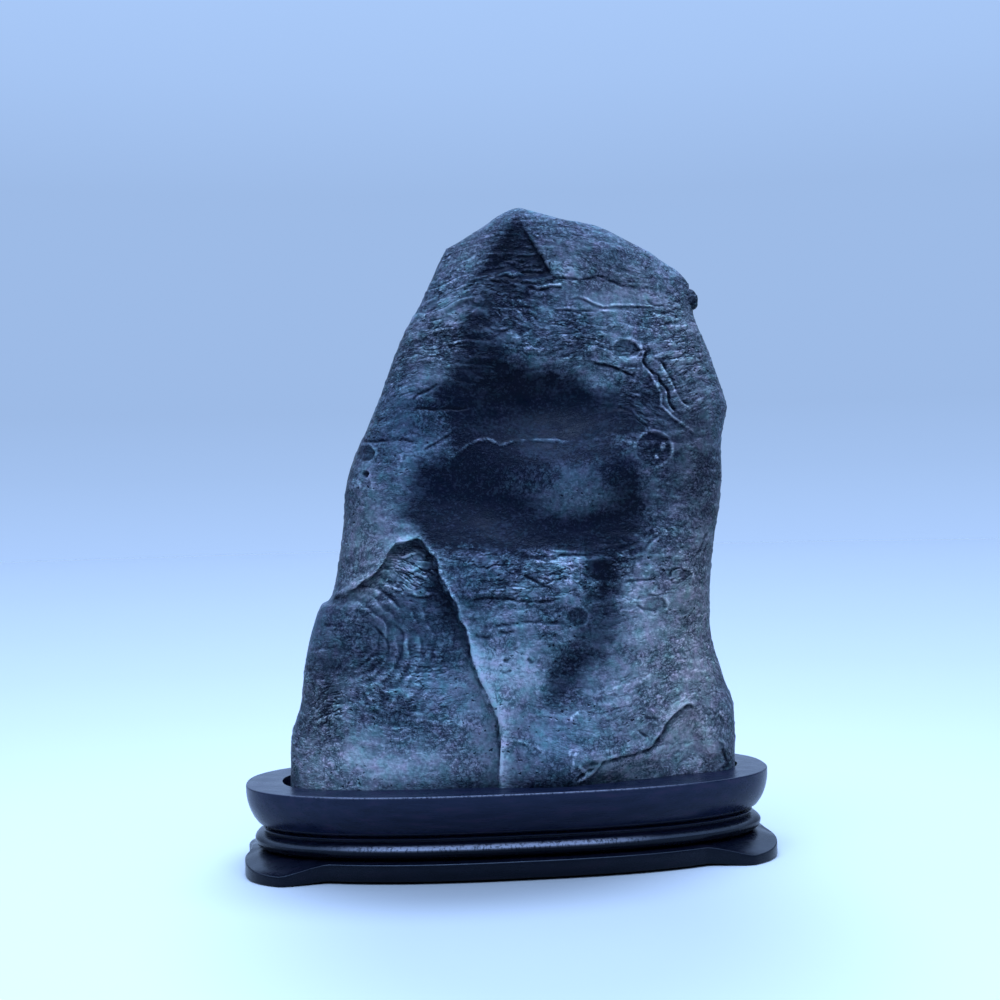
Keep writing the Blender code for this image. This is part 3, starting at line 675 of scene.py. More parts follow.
def to_segment(x, z, start, end):
    """Each place's distance from a segment, and how far along it its nearest point is."""
    ux, uz = end - start
    t = np.clip(((x - start[0]) * ux + (z - start[1]) * uz) / (ux * ux + uz * uz), 0, 1)
    return np.hypot(x - start[0] - t * ux, z - start[1] - t * uz), t


def inside_distance(x, z, outline):
    """How far each point is from a closed outline given in mm: positive inside it."""
    ring = np.array(outline, float) * MM
    nearest = np.full(x.shape, 1e9)
    inside = np.zeros(x.shape, bool)
    for start, end in zip(ring, np.roll(ring, -1, axis=0)):
        nearest = np.minimum(nearest, to_segment(x, z, start, end)[0])
        ux, uz = end - start
        crosses = (start[1] > z) != (end[1] > z)
        if uz != 0:
            inside ^= crosses & (x < start[0] + ux * (z - start[1]) / uz)
    return np.where(inside, nearest, -nearest)


def near_line(x, z, points, margin):
    """The places within margin of a smooth line through points in mm.

    Returns which places, then for each: distance, side (+1 on the left of the run) and share of the run.
    """
    line = smooth_line(points, 6 * len(points))
    low = line.min(axis=0) - margin
    high = line.max(axis=0) + margin
    near = (x > low[0]) & (x < high[0]) & (z > low[1]) & (z < high[1])
    x, z = x[near], z[near]
    gap = np.full(x.shape, 1e9)
    side = np.zeros(x.shape)
    share = np.zeros(x.shape)
    for i, (start, end) in enumerate(zip(line, line[1:])):
        here, t = to_segment(x, z, start, end)
        ux, uz = end - start
        closer = here < gap
        gap = np.where(closer, here, gap)
        side = np.where(closer, np.sign(ux * (z - start[1]) - uz * (x - start[0])), side)
        share = np.where(closer, (i + t) / (len(line) - 1), share)
    return near, gap, side, share


def blob(x, z, cx, cz, half_w, half_h, turn=0):
    """A round falloff, 1 at its centre; places and sizes in mm, turn in degrees."""
    c, s = math.cos(math.radians(turn)), math.sin(math.radians(turn))
    dx, dz = x - cx * MM, z - cz * MM
    along = (dx * c + dz * s) / (half_w * MM)
    across = (dz * c - dx * s) / (half_h * MM)
    return np.exp(-(along**2 + across**2))


def blobs(x, z, rows):
    """The sum of round falloffs, each (cx, cz, half-width, half-height, amount, turn)."""
    result = np.zeros(x.shape)
    for cx, cz, half_w, half_h, amount, turn in rows:
        result += amount * blob(x, z, cx, cz, half_w, half_h, turn)
    return result


def lattice_noise(points, seed):
    """Smooth random values, about -1 to 1, at 3-D points in lattice units (Perlin's gradient noise)."""
    rng = np.random.default_rng(seed)
    slopes = rng.normal(size=(256, 3))
    slopes /= np.linalg.norm(slopes, axis=1)[:, None]
    order = rng.permutation(256)
    cell = np.floor(points).astype(int)
    local = points - cell
    blend_in = local**3 * (local * (local * 6 - 15) + 10)
    result = np.zeros(points.shape[:-1])
    for corner in np.ndindex(2, 2, 2):
        i, j, k = np.moveaxis(cell + corner, -1, 0)
        pick = order[(order[(order[i & 255] + j) & 255] + k) & 255]
        weight = np.where(corner, blend_in, 1 - blend_in).prod(axis=-1)
        result += weight * ((local - corner) * slopes[pick]).sum(axis=-1)
    return result * NOISE_GAIN


def grit(points, size, seed, octaves=1):
    """Noise with lumps of the given size in mm (one number, or one for each axis)."""
    scaled = points / (np.array(size, float) * MM)
    result = np.zeros(points.shape[:-1])
    for octave in range(octaves):
        result += lattice_noise(scaled * 2**octave, seed + octave) / 2**octave
    return result


def patchy(points, middle, spread, size, seed, octaves=1):
    """Random patches, 0 to 1: wider for a higher middle, sharper for a larger spread."""
    return fade(middle + spread * grit(points, size, seed, octaves))


def on_plane(x, z):
    """Places in the plane y = 0 as 3-D points."""
    return np.stack([x, np.zeros(x.shape), z], -1)


def wander(x, z, size, reach, seed):
    """The same places, each shifted a little, so that what is drawn there has a natural edge."""
    points = on_plane(x, z)
    return x + reach * MM * grit(points, size, seed, 2), z + reach * MM * grit(points, size, seed + 7, 2)


def blur(grid, reach):
    """A grid of numbers smoothed by averaging over reach cells each way, twice."""
    for axis in (0, 1, 0, 1):
        width = [(0, 0), (0, 0)]
        width[axis] = (reach + 1, reach)
        summed = np.cumsum(np.pad(grid, width, mode="edge"), axis=axis)
        size = grid.shape[axis]
        upper = np.take(summed, np.arange(size) + 2 * reach + 1, axis=axis)
        grid = (upper - np.take(summed, np.arange(size), axis=axis)) / (2 * reach + 1)
    return grid


# -------- the rock's shape


def outline_grid(foot_drop):
    """A grid of points over the rock's outline, bent to follow all four of its sides (a Coons patch).

    foot_drop lowers the bottom row, column by column. Returns x, z, and the shares across and up.
    """
    across = 0.5 - 0.5 * np.cos(np.linspace(0, math.pi, COLUMNS + 1))
    up = 1 - (1 - np.linspace(0, 1, ROWS + 1)) ** CREST_CROWD
    left, right, crest = (smooth_line(points, EDGE_STEPS) for points in (LEFT_EDGE, RIGHT_EDGE, CREST))
    share = np.linspace(0, 1, EDGE_STEPS)

    def at(line, t):
        return np.stack([np.interp(t, share, line[:, 0]), np.interp(t, share, line[:, 1])], -1)

    u, v = np.meshgrid(across, up)
    u3, v3 = u[..., None], v[..., None]
    foot = (1 - u3) * left[0] + u3 * right[0]
    foot[..., 1] -= foot_drop
    grid = (1 - v3) * foot + v3 * at(crest, u) + (1 - u3) * at(left, v) + u3 * at(right, v)
    grid -= (1 - u3) * (1 - v3) * left[0] + u3 * (1 - v3) * right[0]
    grid -= (1 - u3) * v3 * crest[0] + u3 * v3 * crest[-1]
    return grid[..., 0], grid[..., 1], u, v


def section(u, v):
    """Share of the full thickness: round at both sides and over the crest."""
    side = (1 - np.abs(2 * u - 1) ** FULLNESS) ** (1 / FULLNESS)
    top = np.sqrt(1 - v**CREST_POWER)
    lean = 1 - (1 - CREST_THICK) * rise(v, CREST_LEAN_FROM, 1 - CREST_LEAN_FROM)
    return side * top * lean


def within(x, z, outline, wandering):
    """How far inside an outline each point is, where the outline wanders a little."""
    return inside_distance(*wander(x, z, *wandering), outline)


def front_depth(x, z, u, v):
    """How far the front skin stands in front of the plane y = 0."""
    round_share = section(u, v)
    marks = blobs(x, z, FRONT_FORMS) * MM
    drop = mix(LOBE_FOOT_DROP, LOBE_DROP, rise(z, *LOBE_DROP_RISE))
    drop = drop * mix(LOBE_LEFT_SHARE, 1, rise(x, *LOBE_LEFT_REACH))
    marks -= drop * fade(within(x, z, LOBE_EDGE, LOBE_WANDER) / LOBE_SLOPE)
    chip = within(x, z, CHIP_EDGE, CHIP_WANDER)
    marks -= CHIP_LIP * fade(chip / CHIP_LIP_SLOPE) * rise(x, *CHIP_LIP_END)
    marks -= (CHIP_DROP - CHIP_LIP) * fade(chip / CHIP_SLOPE)
    slope = mix(*NICHE_SLOPE, rise(x, *NICHE_MIDDLE))
    marks -= NICHE_DROP * fade(within(x, z, NICHE_EDGE, NICHE_WANDER) / slope)
    return FRONT_THICK * round_share + marks * fade(round_share * FORMS_FADE)


def back_depth(x, z, u, v):
    """How far the back skin stands behind the plane y = 0."""
    round_share = section(u, v)
    return BACK_THICK * round_share + blobs(x, z, BACK_FORMS) * MM * fade(round_share * FORMS_FADE)


def front_skin():
    """Points of the front skin, which leans in towards FOCUS as it comes forward, and their x, z, u, v."""
    drop = np.zeros(COLUMNS + 1)
    for _ in range(4):
        x, z, u, v = outline_grid(drop)
        depth = front_depth(x, z, u, v)
        lean = depth[0] / -FOCUS[1]
        drop = (FOCUS[2] - SEAT_Z) * lean / (1 - lean)
    lean = depth / -FOCUS[1]
    skin = np.stack([x + (FOCUS[0] - x) * lean, -depth, z + (FOCUS[2] - z) * lean], -1)
    skin[0, :, 2] = SEAT_Z
    return skin, x, z, u, v


def back_skin():
    """Points of the back skin, and their x, z, u, v."""
    x, z, u, v = outline_grid(np.zeros(COLUMNS + 1))
    return np.stack([x, back_depth(x, z, u, v), z], -1), x, z, u, v


# -------- what is drawn on the rock


def on_rock(pixels):
    """Points of the camera's picture as the places seen there in the plane y = 0, in mm."""
    places = []
    for across, down in pixels:
        sight = CAMERA_TURN @ Vector((across - PICTURE / 2, PICTURE / 2 - down, -PICTURE * LENS / SENSOR))
        seen = Vector(CAMERA_AT) - sight * (CAMERA_AT[1] / sight.y)
        places.append((seen.x / MM, seen.z / MM))
    return places


def ends_fade(share, sharpness):
    """0 at both ends of a run, 1 between."""
    return fade(share * sharpness) * fade((1 - share) * sharpness)


def drawn_marks(x, z, strokes, ledges, discs):
    """Height and paleness of the lines, ledges and discs drawn on one side."""
    x, z = wander(x, z, *LINE_WANDER)
    height = np.zeros(x.shape)
    pale = np.zeros(x.shape)
    broken = mix(LEAST_SHOWN, 1, patchy(on_plane(x, z), *BREAKS))
    for points, dark, light in strokes:
        near, gap, side, share = near_line(x, z, points, 5 * STROKE_WIDTH * MM)
        shown = ends_fade(share, STROKE_ENDS) * broken[near]
        across = gap * side / (STROKE_WIDTH * MM)
        # The groove's dark is partly painted shade, the lip's paleness partly a painted highlight.
        groove = dark * bell(across - GROOVE_AT) * shown
        lip = light * bell(across + LIP_AT) * shown
        height[near] += (STROKE_LIP * lip - STROKE_DEPTH * groove) * MM
        pale[near] += STROKE_PALE * lip - STROKE_DARK * groove
    for points, step_up, reach, light in ledges:
        near, gap, side, share = near_line(x, z, points, 3 * reach * MM)
        shown = ends_fade(share, LEDGE_ENDS) * broken[near]
        high_side = gap * side
        shelf = fade(high_side / LEDGE_STEP + 0.5) * np.exp(-np.maximum(high_side, 0) / (reach * MM))
        height[near] += step_up * MM * shelf * shown
        pale[near] += light * bell((high_side - LEDGE_LIGHT[0]) / LEDGE_LIGHT[1]) * shown
    for cx, cz, half_w, half_h, rim, dip, rim_light, inside_light in discs:
        out = np.hypot((x - cx * MM) / half_w, (z - cz * MM) / half_h) / MM
        bead = bell((out - 1) * half_w / RIM_WIDTH)
        dish = fade((1 - out) * half_w / DISH_SLOPE)
        # The rim is painted paler on its upper right, a painted highlight.
        upper_right = np.clip((z - cz * MM + x - cx * MM) / (half_w * MM), -1, 1)
        lit = broken * (RIM_EVEN + RIM_LIT * upper_right)
        height += (rim * bead * lit - dip * dish) * MM
        pale += rim_light * bead * lit + inside_light * dish
    return height, pale


def front_marks(x, z):
    """Height and paleness of everything drawn on the front."""
    strokes = [(on_rock(pixels), dark, light) for pixels, dark, light in STROKES.values()]
    height, pale = drawn_marks(x, z, strokes, LEDGES, DISCS)
    rings, ring_pale = lobe_rings(*wander(x, z, *LINE_WANDER))
    return height + rings, pale + ring_pale


def shelves(phase):
    """Slopes that each rise over one unit and end in a sharp step back."""
    part = phase % 1
    return part - rise(part, *SHELF_STEP)


def lobe_rings(x, z):
    """Concentric relief on the broken lobe: height and paleness."""
    points = on_plane(x, z)
    out = np.hypot(x - LOBE_RINGS_AT[0] * MM, z - LOBE_RINGS_AT[1] * MM) / MM
    ring = shelves((out + LOBE_RINGS_WAVER * grit(points, 7, 71, 2)) / LOBE_RINGS_PITCH)
    shown = fade(within(x, z, LOBE_EDGE, LOBE_WANDER) / (2 * MM)) * rise(z, *RINGS_ABOVE)
    shown = shown * rise(out, *RINGS_FROM) * rise(x, *RINGS_RIGHT_OF)
    shown = shown * rise(out, *RINGS_TO) * patchy(points, *RINGS_PATCHES)
    return LOBE_RINGS_HEIGHT * ring * shown, LOBE_RINGS_PALE * (ring - RING_EVEN) * shown


def bedding(skin, x, z, round_share, is_front):
    """Height of each place in the bedding, which wavers and tilts, in metres."""
    level = skin[..., 2] + BED_WAVER * grit(skin, BED_WAVER_SIZE, 91)
    if is_front:
        for cx, cz, half_w, half_h, slope, turn in BED_TILTS:
            near = blob(x, z, cx, cz, half_w, half_h, turn) * fade(round_share * BEDS_FADE)
            level = level - slope * (x - cx * MM) * near
    return level


def natural_relief(skin, level, ripple):
    """Height of the relief that the whole rock has; ripple is how strongly the bedding shows there."""
    bedded = np.stack([skin[..., 0], skin[..., 1], level], -1)
    lumps = LUMPS_HEIGHT * grit(skin, LUMPS_SIZE, 1, 2)
    lumps = lumps + SMALL_LUMPS_HEIGHT * grit(skin, SMALL_LUMPS_SIZE, 5)
    wavering = level / MM + STRATA_WAVER * grit(bedded, STRATA_WAVER_SIZE, 11, 3)
    strata = shelves(wavering / STRATA_PITCH) * patchy(bedded, *STRATA_PATCHES)
    scallops = shelves(SCALLOPS_LAYERS * grit(bedded, SCALLOPS_SIZE, 15, 2))
    scallops = scallops * patchy(bedded, *SCALLOPS_PATCHES)
    return (lumps + ripple * (STRATA_HEIGHT * strata + SCALLOPS_HEIGHT * scallops)) * MM


def rippled(x, z, round_share, rows):
    """How strongly the bedding shows on one side."""
    ripple = np.clip(PLAIN_RIPPLE + blobs(x, z, rows), *RIPPLE_RANGE)
    return mix(PLAIN_RIPPLE, ripple, fade(round_share * BEDS_FADE))


def front_tone_and_shade(x, z):
    """Tone on the front: painted shadow under the chip's edge and under the lobe's overhang, a pale lip on
    the lobe's edge, stains, and painted light and shade in broad places and in the hollows.
    """
    chip = within(x, z, CHIP_EDGE, CHIP_WANDER)
    lobe = within(x, z, LOBE_EDGE, LOBE_WANDER)
    # painted shadow under the chip's upper edge
    shadow_under_edge = bell((chip - CHIP_EDGE_WIDTH[0]) / CHIP_EDGE_WIDTH[1]) * rise(z, *CHIP_EDGE_ABOVE)
    shadow_under_edge = shadow_under_edge * rise(x, *CHIP_EDGE_LEFT_OF)
    tone = CHIP_TONE * fade(chip / CHIP_TONE_SLOPE) - CHIP_EDGE_SHADOW * shadow_under_edge
    # pale lip on the lobe's edge, wear and a painted highlight, and painted shadow under its overhang
    width = mix(*LOBE_LIP_WIDTHS, rise(z, *LOBE_LIP_WIDENS))
    lip = bell((lobe + width) / width) * rise(x, *LOBE_LIP_RIGHT_OF)
    width = mix(*LOBE_SHADE_WIDTHS, rise(z, *LOBE_SHADE_WIDENS))
    shade = bell((lobe - LOBE_SHADE_AT * width) / width) * rise(x, *LOBE_SHADE_RIGHT_OF)
    tone += LOBE_LIP_TONE * lip - LOBE_SHADE * shade * rise(z, *LOBE_SHADE_ABOVE)
    x, z = wander(x, z, *STAIN_AND_SHADE_WANDER)
    tone += blobs(x, z, STAINS_AND_SHADE.values())
    for outline, soft, amount in SHADOWS:
        tone += amount * fade(inside_distance(x, z, outline) / (soft * MM) + SHADOW_SPREAD)
    return tone


def worn_and_lit(height, reach, size):
    """How far each place stands over (+) or lies under (-) the ground about it, -1 to 1."""
    return np.tanh((height - blur(height, reach)) / size)


def skin_fields(skin, x, z, u, v, is_front):
    """What one skin carries, as grids: height of the fine relief, tone, bedding, ripple and warmth."""
    round_share = section(u, v)
    shown = fade(round_share * MARKS_FADE)
    level = bedding(skin, x, z, round_share, is_front)
    tone = SIDE_TONE + CLOUD_TONE * grit(skin, CLOUD_SIZE, 95, 2)
    warmth = CLOUD_WARMTH * grit(skin, CLOUD_WARMTH_SIZE, 97, 2)
    if is_front:
        ripple = rippled(x, z, round_share, RIPPLES)
        marks, pale = front_marks(x, z)
        tone = mix(tone, SIDE_TONE + pale + front_tone_and_shade(x, z), shown)
        warmth = warmth * (1 - TINTED * shown) + blobs(x, z, TINTS) * shown
        cuts = front_depth(x, z, u, v) - FRONT_THICK * round_share
    else:
        ripple = rippled(x, z, round_share, BACK_RIPPLES)
        marks, pale = drawn_marks(x, z, BACK_STROKES.values(), [], BACK_DISCS)
        tone = tone + (pale + BACK_SHADE * blobs(x, z, BACK_FORMS)) * shown
        cuts = back_depth(x, z, u, v) - BACK_THICK * round_share
    height = natural_relief(skin, level, ripple) + marks * shown
    # Painted shade near the rock's sides.
    seam_shade = mix(SEAM_SHADE_LEFT, SEAM_SHADE, rise(x, *SEAM_MIDDLE))
    tone = tone - seam_shade * (1 - fade(round_share * SEAM_FADE))
    # Paler where the relief stands out, wear and painted highlights; darker where it lies under, painted
    # shade.
    tone = tone + FINE_WEAR_AND_LIGHT[0] * worn_and_lit(height + cuts, *FINE_WEAR_AND_LIGHT[1:])
    tone = tone + BROAD_WEAR_AND_LIGHT[0] * worn_and_lit(height, *BROAD_WEAR_AND_LIGHT[1:])
    height = height * mix(SEAT_CALM, 1, rise(skin[..., 2], *SEAT_CALM_REACH))
    return {"height": height, "tone": np.maximum(tone, DARKEST_TONE), "level": level, "ripple": ripple,
            "warmth": np.clip(warmth, -MOST_WARMTH, MOST_WARMTH)}


# -------- the rock's mesh


def sewn_mesh(front, back):
    """A closed mesh from two grids of points that share their sides and top, with a flat foot.

    Returns the mesh and which points of the two grids, laid end to end, its vertices are.
    """
    rows, columns = front.shape[:2]
    front_at = np.arange(rows * columns).reshape(rows, columns)
    back_at = front_at + rows * columns
    back_at[:, 0] = front_at[:, 0]
    back_at[:, -1] = front_at[:, -1]
    back_at[-1] = front_at[-1]
    quads = []
    for at in (front_at, back_at[:, ::-1]):
        quads.append(np.stack([at[:-1, :-1], at[:-1, 1:], at[1:, 1:], at[1:, :-1]], -1).reshape(-1, 4))
    foot = np.concatenate([back_at[0, 1:-1], front_at[0, ::-1]])
    used, numbered = np.unique(np.vstack(quads), return_inverse=True)
    faces = numbered.reshape(-1, 4).tolist()
    faces.append(np.searchsorted(used, foot).tolist())
    points = np.vstack([front.reshape(-1, 3), back.reshape(-1, 3)])[used]
    made = bpy.data.meshes.new("stone")
    made.from_pydata(points.tolist(), [], faces)
    made.update()
    return made, used


def add_knob(points):
    """Raise the knob on the right edge, and tell which points are on it."""
    apart = points - KNOB_AT
    along = apart @ KNOB_OUT
    across = np.hypot(*(apart - along[:, None] * KNOB_OUT)[:, :2].T)
    out = np.hypot(across / KNOB_HALF_WIDTH, apart[:, 2] / KNOB_HALF_HEIGHT)
    height = np.where(np.abs(along) < 2 * KNOB_HEIGHT, np.sqrt(np.maximum(1 - out**2, 0)), 0)
    points += KNOB_HEIGHT * height[:, None] * KNOB_OUT
    return height > 0


def make_stone():
    """The rock: both skins with all their relief, thinned where it is plain."""
    front, *front_grid = front_skin()
    back, *back_grid = back_skin()
    fields = [skin_fields(front, *front_grid, True), skin_fields(back, *back_grid, False)]
    mesh_data, used = sewn_mesh(front, back)
    drawn = {key: np.concatenate([grids[key].ravel() for grids in fields])[used] for key in fields[0]}
    normals = np.empty(len(used) * 3)
    mesh_data.vertex_normals.foreach_get("vector", normals)
    points = coordinates(mesh_data)
    on_foot = points[:, 2] < SEAT_Z + 0.01 * MM
    points += normals.reshape(-1, 3) * np.where(on_foot, 0, drawn["height"])[:, None]
    drawn["tone"] -= KNOB_DARK * add_knob(points)
    mesh_data.vertices.foreach_set("co", points.ravel())
    for name in DRAWN:
        set_attribute(mesh_data, name, drawn[name])
    stone = add_object("stone_fine", mesh_data)
    triangles = 4 * COLUMNS * ROWS
    if triangles > MOST_TRIANGLES:
        thin = stone.modifiers.new("thin", "DECIMATE")
        thin.ratio = MOST_TRIANGLES / triangles
        settle(stone)
    dress(stone, stone_material())
    return stone


# -------- the stand's shape


def oval_radius(angle, power):
    """Radius of a unit superellipse in a direction."""
    return (np.abs(np.cos(angle)) ** power + np.abs(np.sin(angle)) ** power) ** (-1 / power)


def from_long_axis(angle):
    """Degrees between a direction and the stand's long axis, 0 to 90."""
    return np.degrees(np.arctan2(np.abs(np.sin(angle)), np.abs(np.cos(angle))))


def stand_ring(angle, inset, height, share=0.0):
    """One ring of the stand: its inset from the rim and its height, both in mm, with the carver's wobble.

    share is 0 where the ring follows the rim's oval, and 1 where it follows the squarer feet.
    """
    radius = oval_radius(angle, mix(OVAL_POWER, FOOT_POWER, share))
    inset = inset + 0.07 * np.sin(3 * angle + 1) + 0.05 * np.sin(8 * angle + 0.12 * height)
    x = (STAND_LENGTH / 2 - inset * MM) * radius * np.cos(angle)
    y = (STAND_DEPTH / 2 - inset * MM) * radius * np.sin(angle)
    return np.stack([x, y, np.broadcast_to(height * MM, x.shape)], -1)


def arc(centre_inset, centre_z, radius_in, radius_z, start, end, steps):
    """(inset, height) pairs round an elliptic arc, in mm; 0 degrees points outwards, 90 up."""
    turns = np.radians(np.linspace(start, end, steps))
    return [(centre_inset - radius_in * math.cos(t), centre_z + radius_z * math.sin(t)) for t in turns]


def stand_profile():
    """The moulding from the top down, in mm: edge, bowl, groove, fillet, groove and roll."""
    edge = [(2.0, 25.0), (0.8, 25.0)] + arc(0.25, 24.75, 0.25, 0.25, 90, 15, 4) + [(0.0, 24.5)]
    bowl = arc(11.0, 23.8, 11.0, 13.6, -3, -44, 18)
    groove = [(3.4, 14.0)] + arc(5.3, 13.1, 1.1, 0.8, 150, 215, 4)
    fillet = arc(5.6, 11.95, 0.7, 0.4, 80, -80, 6)
    roll = arc(6.4, 8.6, 4.1, 2.45, 78, 22, 8) + [(2.4, 9.25)] + arc(6.0, 9.0, 3.6, 3.0, -5, -79, 10)
    return edge + bowl + groove + fillet + roll


def foot_rings(angle):
    """The moulding at the floor and the feet it grows into, from the roll's underside down."""
    turn = from_long_axis(angle)
    share = rise(turn, *FOOT_SIDE) * rise(turn, *FOOT_FRONT)
    top = mix(APRON_Z, mix(FOOT_END_Z, FOOT_CORNER_Z, rise(turn, *FOOT_CORNER)), share)
    lift = mix(APRON_LIFT, 0.0, share)
    out = mix(APRON_INSET, -FOOT_SPREAD, share)
    rings = []
    for part in np.linspace(0, 1, 8):
        inset = mix(NECK_INSET - APRON_REACH * part, NECK_INSET - (FOOT_REACH + FOOT_SPREAD) * part, share)
        height = NECK_Z + (top - NECK_Z) * mix(part, part**1.3, share)
        rings.append(stand_ring(angle, inset, height, share * part**1.5))
    for level, radius, degrees in ((top, -FOOT_EDGE, (60, 30, 0)), (lift, FOOT_EDGE, (0, 30, 60, 90))):
        for t in np.radians(degrees):
            inset = out + FOOT_EDGE * (1 - math.cos(t))
            rings.append(stand_ring(angle, inset, level + radius * (1 - math.sin(t)), share))
    rings.append(stand_ring(angle, FLOOR_INSET, lift, share))
    rings.append(stand_ring(angle, UNDERSIDE_INSET, UNDERSIDE_Z, share))
    return rings


def widest(skin, side):
    """How far a skin stands out between its foot and the rim, column by column, in plan."""
    low = skin[skin[:, 0, 2] < RIM_Z + OVER_RIM, :, :2]
    reach = (low[..., 1] * side).argmax(axis=0)
    return low[reach, np.arange(low.shape[1])]


def seat_cutter():
    """The seat's hollow: the rock's plan at its foot, grown by its play, up through the rim."""
    spacing = COLUMNS // 50
    front = widest(front_skin()[0][:, ::spacing], -1)
    back = widest(back_skin()[0][:, ::spacing], 1)
    ring = np.vstack([front, back[-2:0:-1]])
    ahead = np.roll(ring, -1, axis=0) - np.roll(ring, 1, axis=0)
    out = np.stack([ahead[:, 1], -ahead[:, 0]], 1) / np.hypot(*ahead.T)[:, None]
    notch_from = ring.mean(axis=0)[0] + SEAT_NOTCH_REACH[0]
    play = SEAT_PLAY + rise(ring[:, 0], notch_from, SEAT_NOTCH_REACH[1]) * SEAT_NOTCH
    bm = bmesh.new()
    floor = SEAT_Z - SEAT_GAP
    bottom = bm.faces.new([bm.verts.new((x, y, floor)) for x, y in ring + out * play[:, None]])
    lifted = bmesh.ops.extrude_face_region(bm, geom=[bottom])
    top = [v for v in lifted["geom"] if isinstance(v, bmesh.types.BMVert)]
    bmesh.ops.translate(bm, verts=top, vec=(0, 0, RIM_Z - floor + OVER_RIM))
    bmesh.ops.recalc_face_normals(bm, faces=bm.faces)
    return object_from(bm, "seat_cut")


def rubbed_and_highlit_places(points):
    """How pale the lacquer is painted at each point: rubbed wear and a painted highlight along the rim, and
    a painted highlight along the front of the roll.
    """
    shares = np.abs(points[:, :2] / (np.array([STAND_LENGTH, STAND_DEPTH]) / 2)) ** OVAL_POWER
    inset = (1 - shares.sum(axis=1) ** (1 / OVAL_POWER)) * STAND_DEPTH / 2 / MM
    high = points[:, 2] / MM
    away = np.abs(points[:, 0] / MM - WEAR_AND_HIGHLIGHT_MIDDLE)
    # On the rim: rubbed lacquer and a painted highlight; on the roll: a painted highlight.
    rim = rise(high, *RIM_WEAR_AND_HIGHLIGHT[0]) * rise(inset, *RIM_WEAR_AND_HIGHLIGHT[1]) * rise(away, *RIM_WEAR_AND_HIGHLIGHT[2])
    roll = rise(high, *ROLL_HIGHLIGHT[0]) * rise(high, *ROLL_HIGHLIGHT[1]) * rise(away, *ROLL_HIGHLIGHT[2])
    return RIM_WEAR_AND_HIGHLIGHT_SHARE * rim + ROLL_HIGHLIGHT_SHARE * roll * (points[:, 1] < 0)


def make_stand():
    """The carved block, lofted ring by ring, with the seat cut into it."""
    angle = np.linspace(0, 2 * math.pi, STAND_STEPS, endpoint=False)
    rings = [stand_ring(angle, inset, z) for inset, z in stand_profile()] + foot_rings(angle)
    bm = bmesh.new()
    loops = [[bm.verts.new(point) for point in ring] for ring in rings]
    for upper, lower in zip(loops, loops[1:]):
        for i in range(STAND_STEPS):
            j = (i + 1) % STAND_STEPS
            bm.faces.new((upper[i], upper[j], lower[j], lower[i]))
    bm.faces.new(loops[0])
    bm.faces.new(loops[-1])
    bmesh.ops.recalc_face_normals(bm, faces=bm.faces)
    stand = object_from(bm, "stand_fine")
    cutter = seat_cutter()
    cut = stand.modifiers.new("seat", "BOOLEAN")
    cut.object = cutter
    cut.operation = "DIFFERENCE"
    cut.solver = "EXACT"
    settle(stand)
    bpy.data.objects.remove(cutter)
    set_attribute(stand.data, "wear_and_highlight", rubbed_and_highlit_places(coordinates(stand.data)))
    dress(stand, wood_material())
    stand.data.set_sharp_from_angle(angle=math.radians(SHARP_ANGLE))
    return stand


# -------- node helpers


def new_material(name):
    """A node material: itself, its tree, its Principled shader and the object's coordinates."""
    made = bpy.data.materials.new(name)
    made.use_nodes = True
    tree = made.node_tree
    return made, tree, tree.nodes["Principled BSDF"], add_node(tree, "TexCoord").outputs["Object"]


def feed(tree, socket, value):
    """Link a socket to another, or set its value."""
    if isinstance(value, bpy.types.NodeSocket):
        tree.links.new(value, socket)
    elif value is not None:
        socket.default_value = value


def feed_all(tree, node, **values):
    """Feed a node's inputs by their names."""
    for name, value in values.items():
        feed(tree, node.inputs[name], value)


def add_node(tree, kind, *values, **settings):
    """A node with its first inputs fed by sockets or set to values, and its settings."""
    made = tree.nodes.new("ShaderNode" + kind)
    for name, value in settings.items():
        setattr(made, name, value)
    for socket, value in zip(made.inputs, values):
        feed(tree, socket, value)
    return made


def maths(tree, operation, a, b=None, c=None):
    """The result of a Math node."""
    return add_node(tree, "Math", a, b, c, operation=operation).outputs[0]


def vectors(tree, operation, a, b):
    """The result of a Vector Math node that makes a vector of two."""
    return add_node(tree, "VectorMath", a, b, operation=operation).outputs[0]


def scaled_by(tree, vector, factor):
    """A vector or a colour times a number."""
    made = add_node(tree, "VectorMath", vector, operation="SCALE")
    feed_all(tree, made, Scale=factor)
    return made.outputs["Vector"]


def length_of(tree, vector):
    """The length of a vector."""
    return add_node(tree, "VectorMath", vector, operation="LENGTH").outputs["Value"]


def total(tree, *terms):
    """The sum of (value, factor) pairs."""
    result = None
    for value, factor in terms:
        result = maths(tree, "MULTIPLY_ADD", value, factor, result if result else 0.0)
    return result


def weighed(tree, values, weights):
    """The sum of named values, each times its weight."""
    return total(tree, *((values[name], weight) for name, weight in weights.items()))


def product(tree, *values):
    """The product of values."""
    result = values[0]
    for value in values[1:]:
        result = maths(tree, "MULTIPLY", result, value)
    return result


def blend(tree, share, first, second):
    """A colour between two."""
    made = add_node(tree, "Mix", data_type="RGBA", clamp_factor=True)
    for name, value in (("Factor", share), ("A", first), ("B", second)):
        feed(tree, [socket for socket in made.inputs if socket.name == name and socket.enabled][0], value)
    return [socket for socket in made.outputs if socket.enabled][0]


def coloured(tree, value, stops):
    """A value turned into a colour by a colour ramp's (place, colour) stops."""
    made = add_node(tree, "ValToRGB", value)
    elements = made.color_ramp.elements
    elements.remove(elements[-1])
    elements[0].position = stops[0][0]
    elements[0].color = (*stops[0][1], 1)
    for at, colour in stops[1:]:
        elements.new(at).color = (*colour, 1)
    return made.outputs["Color"]


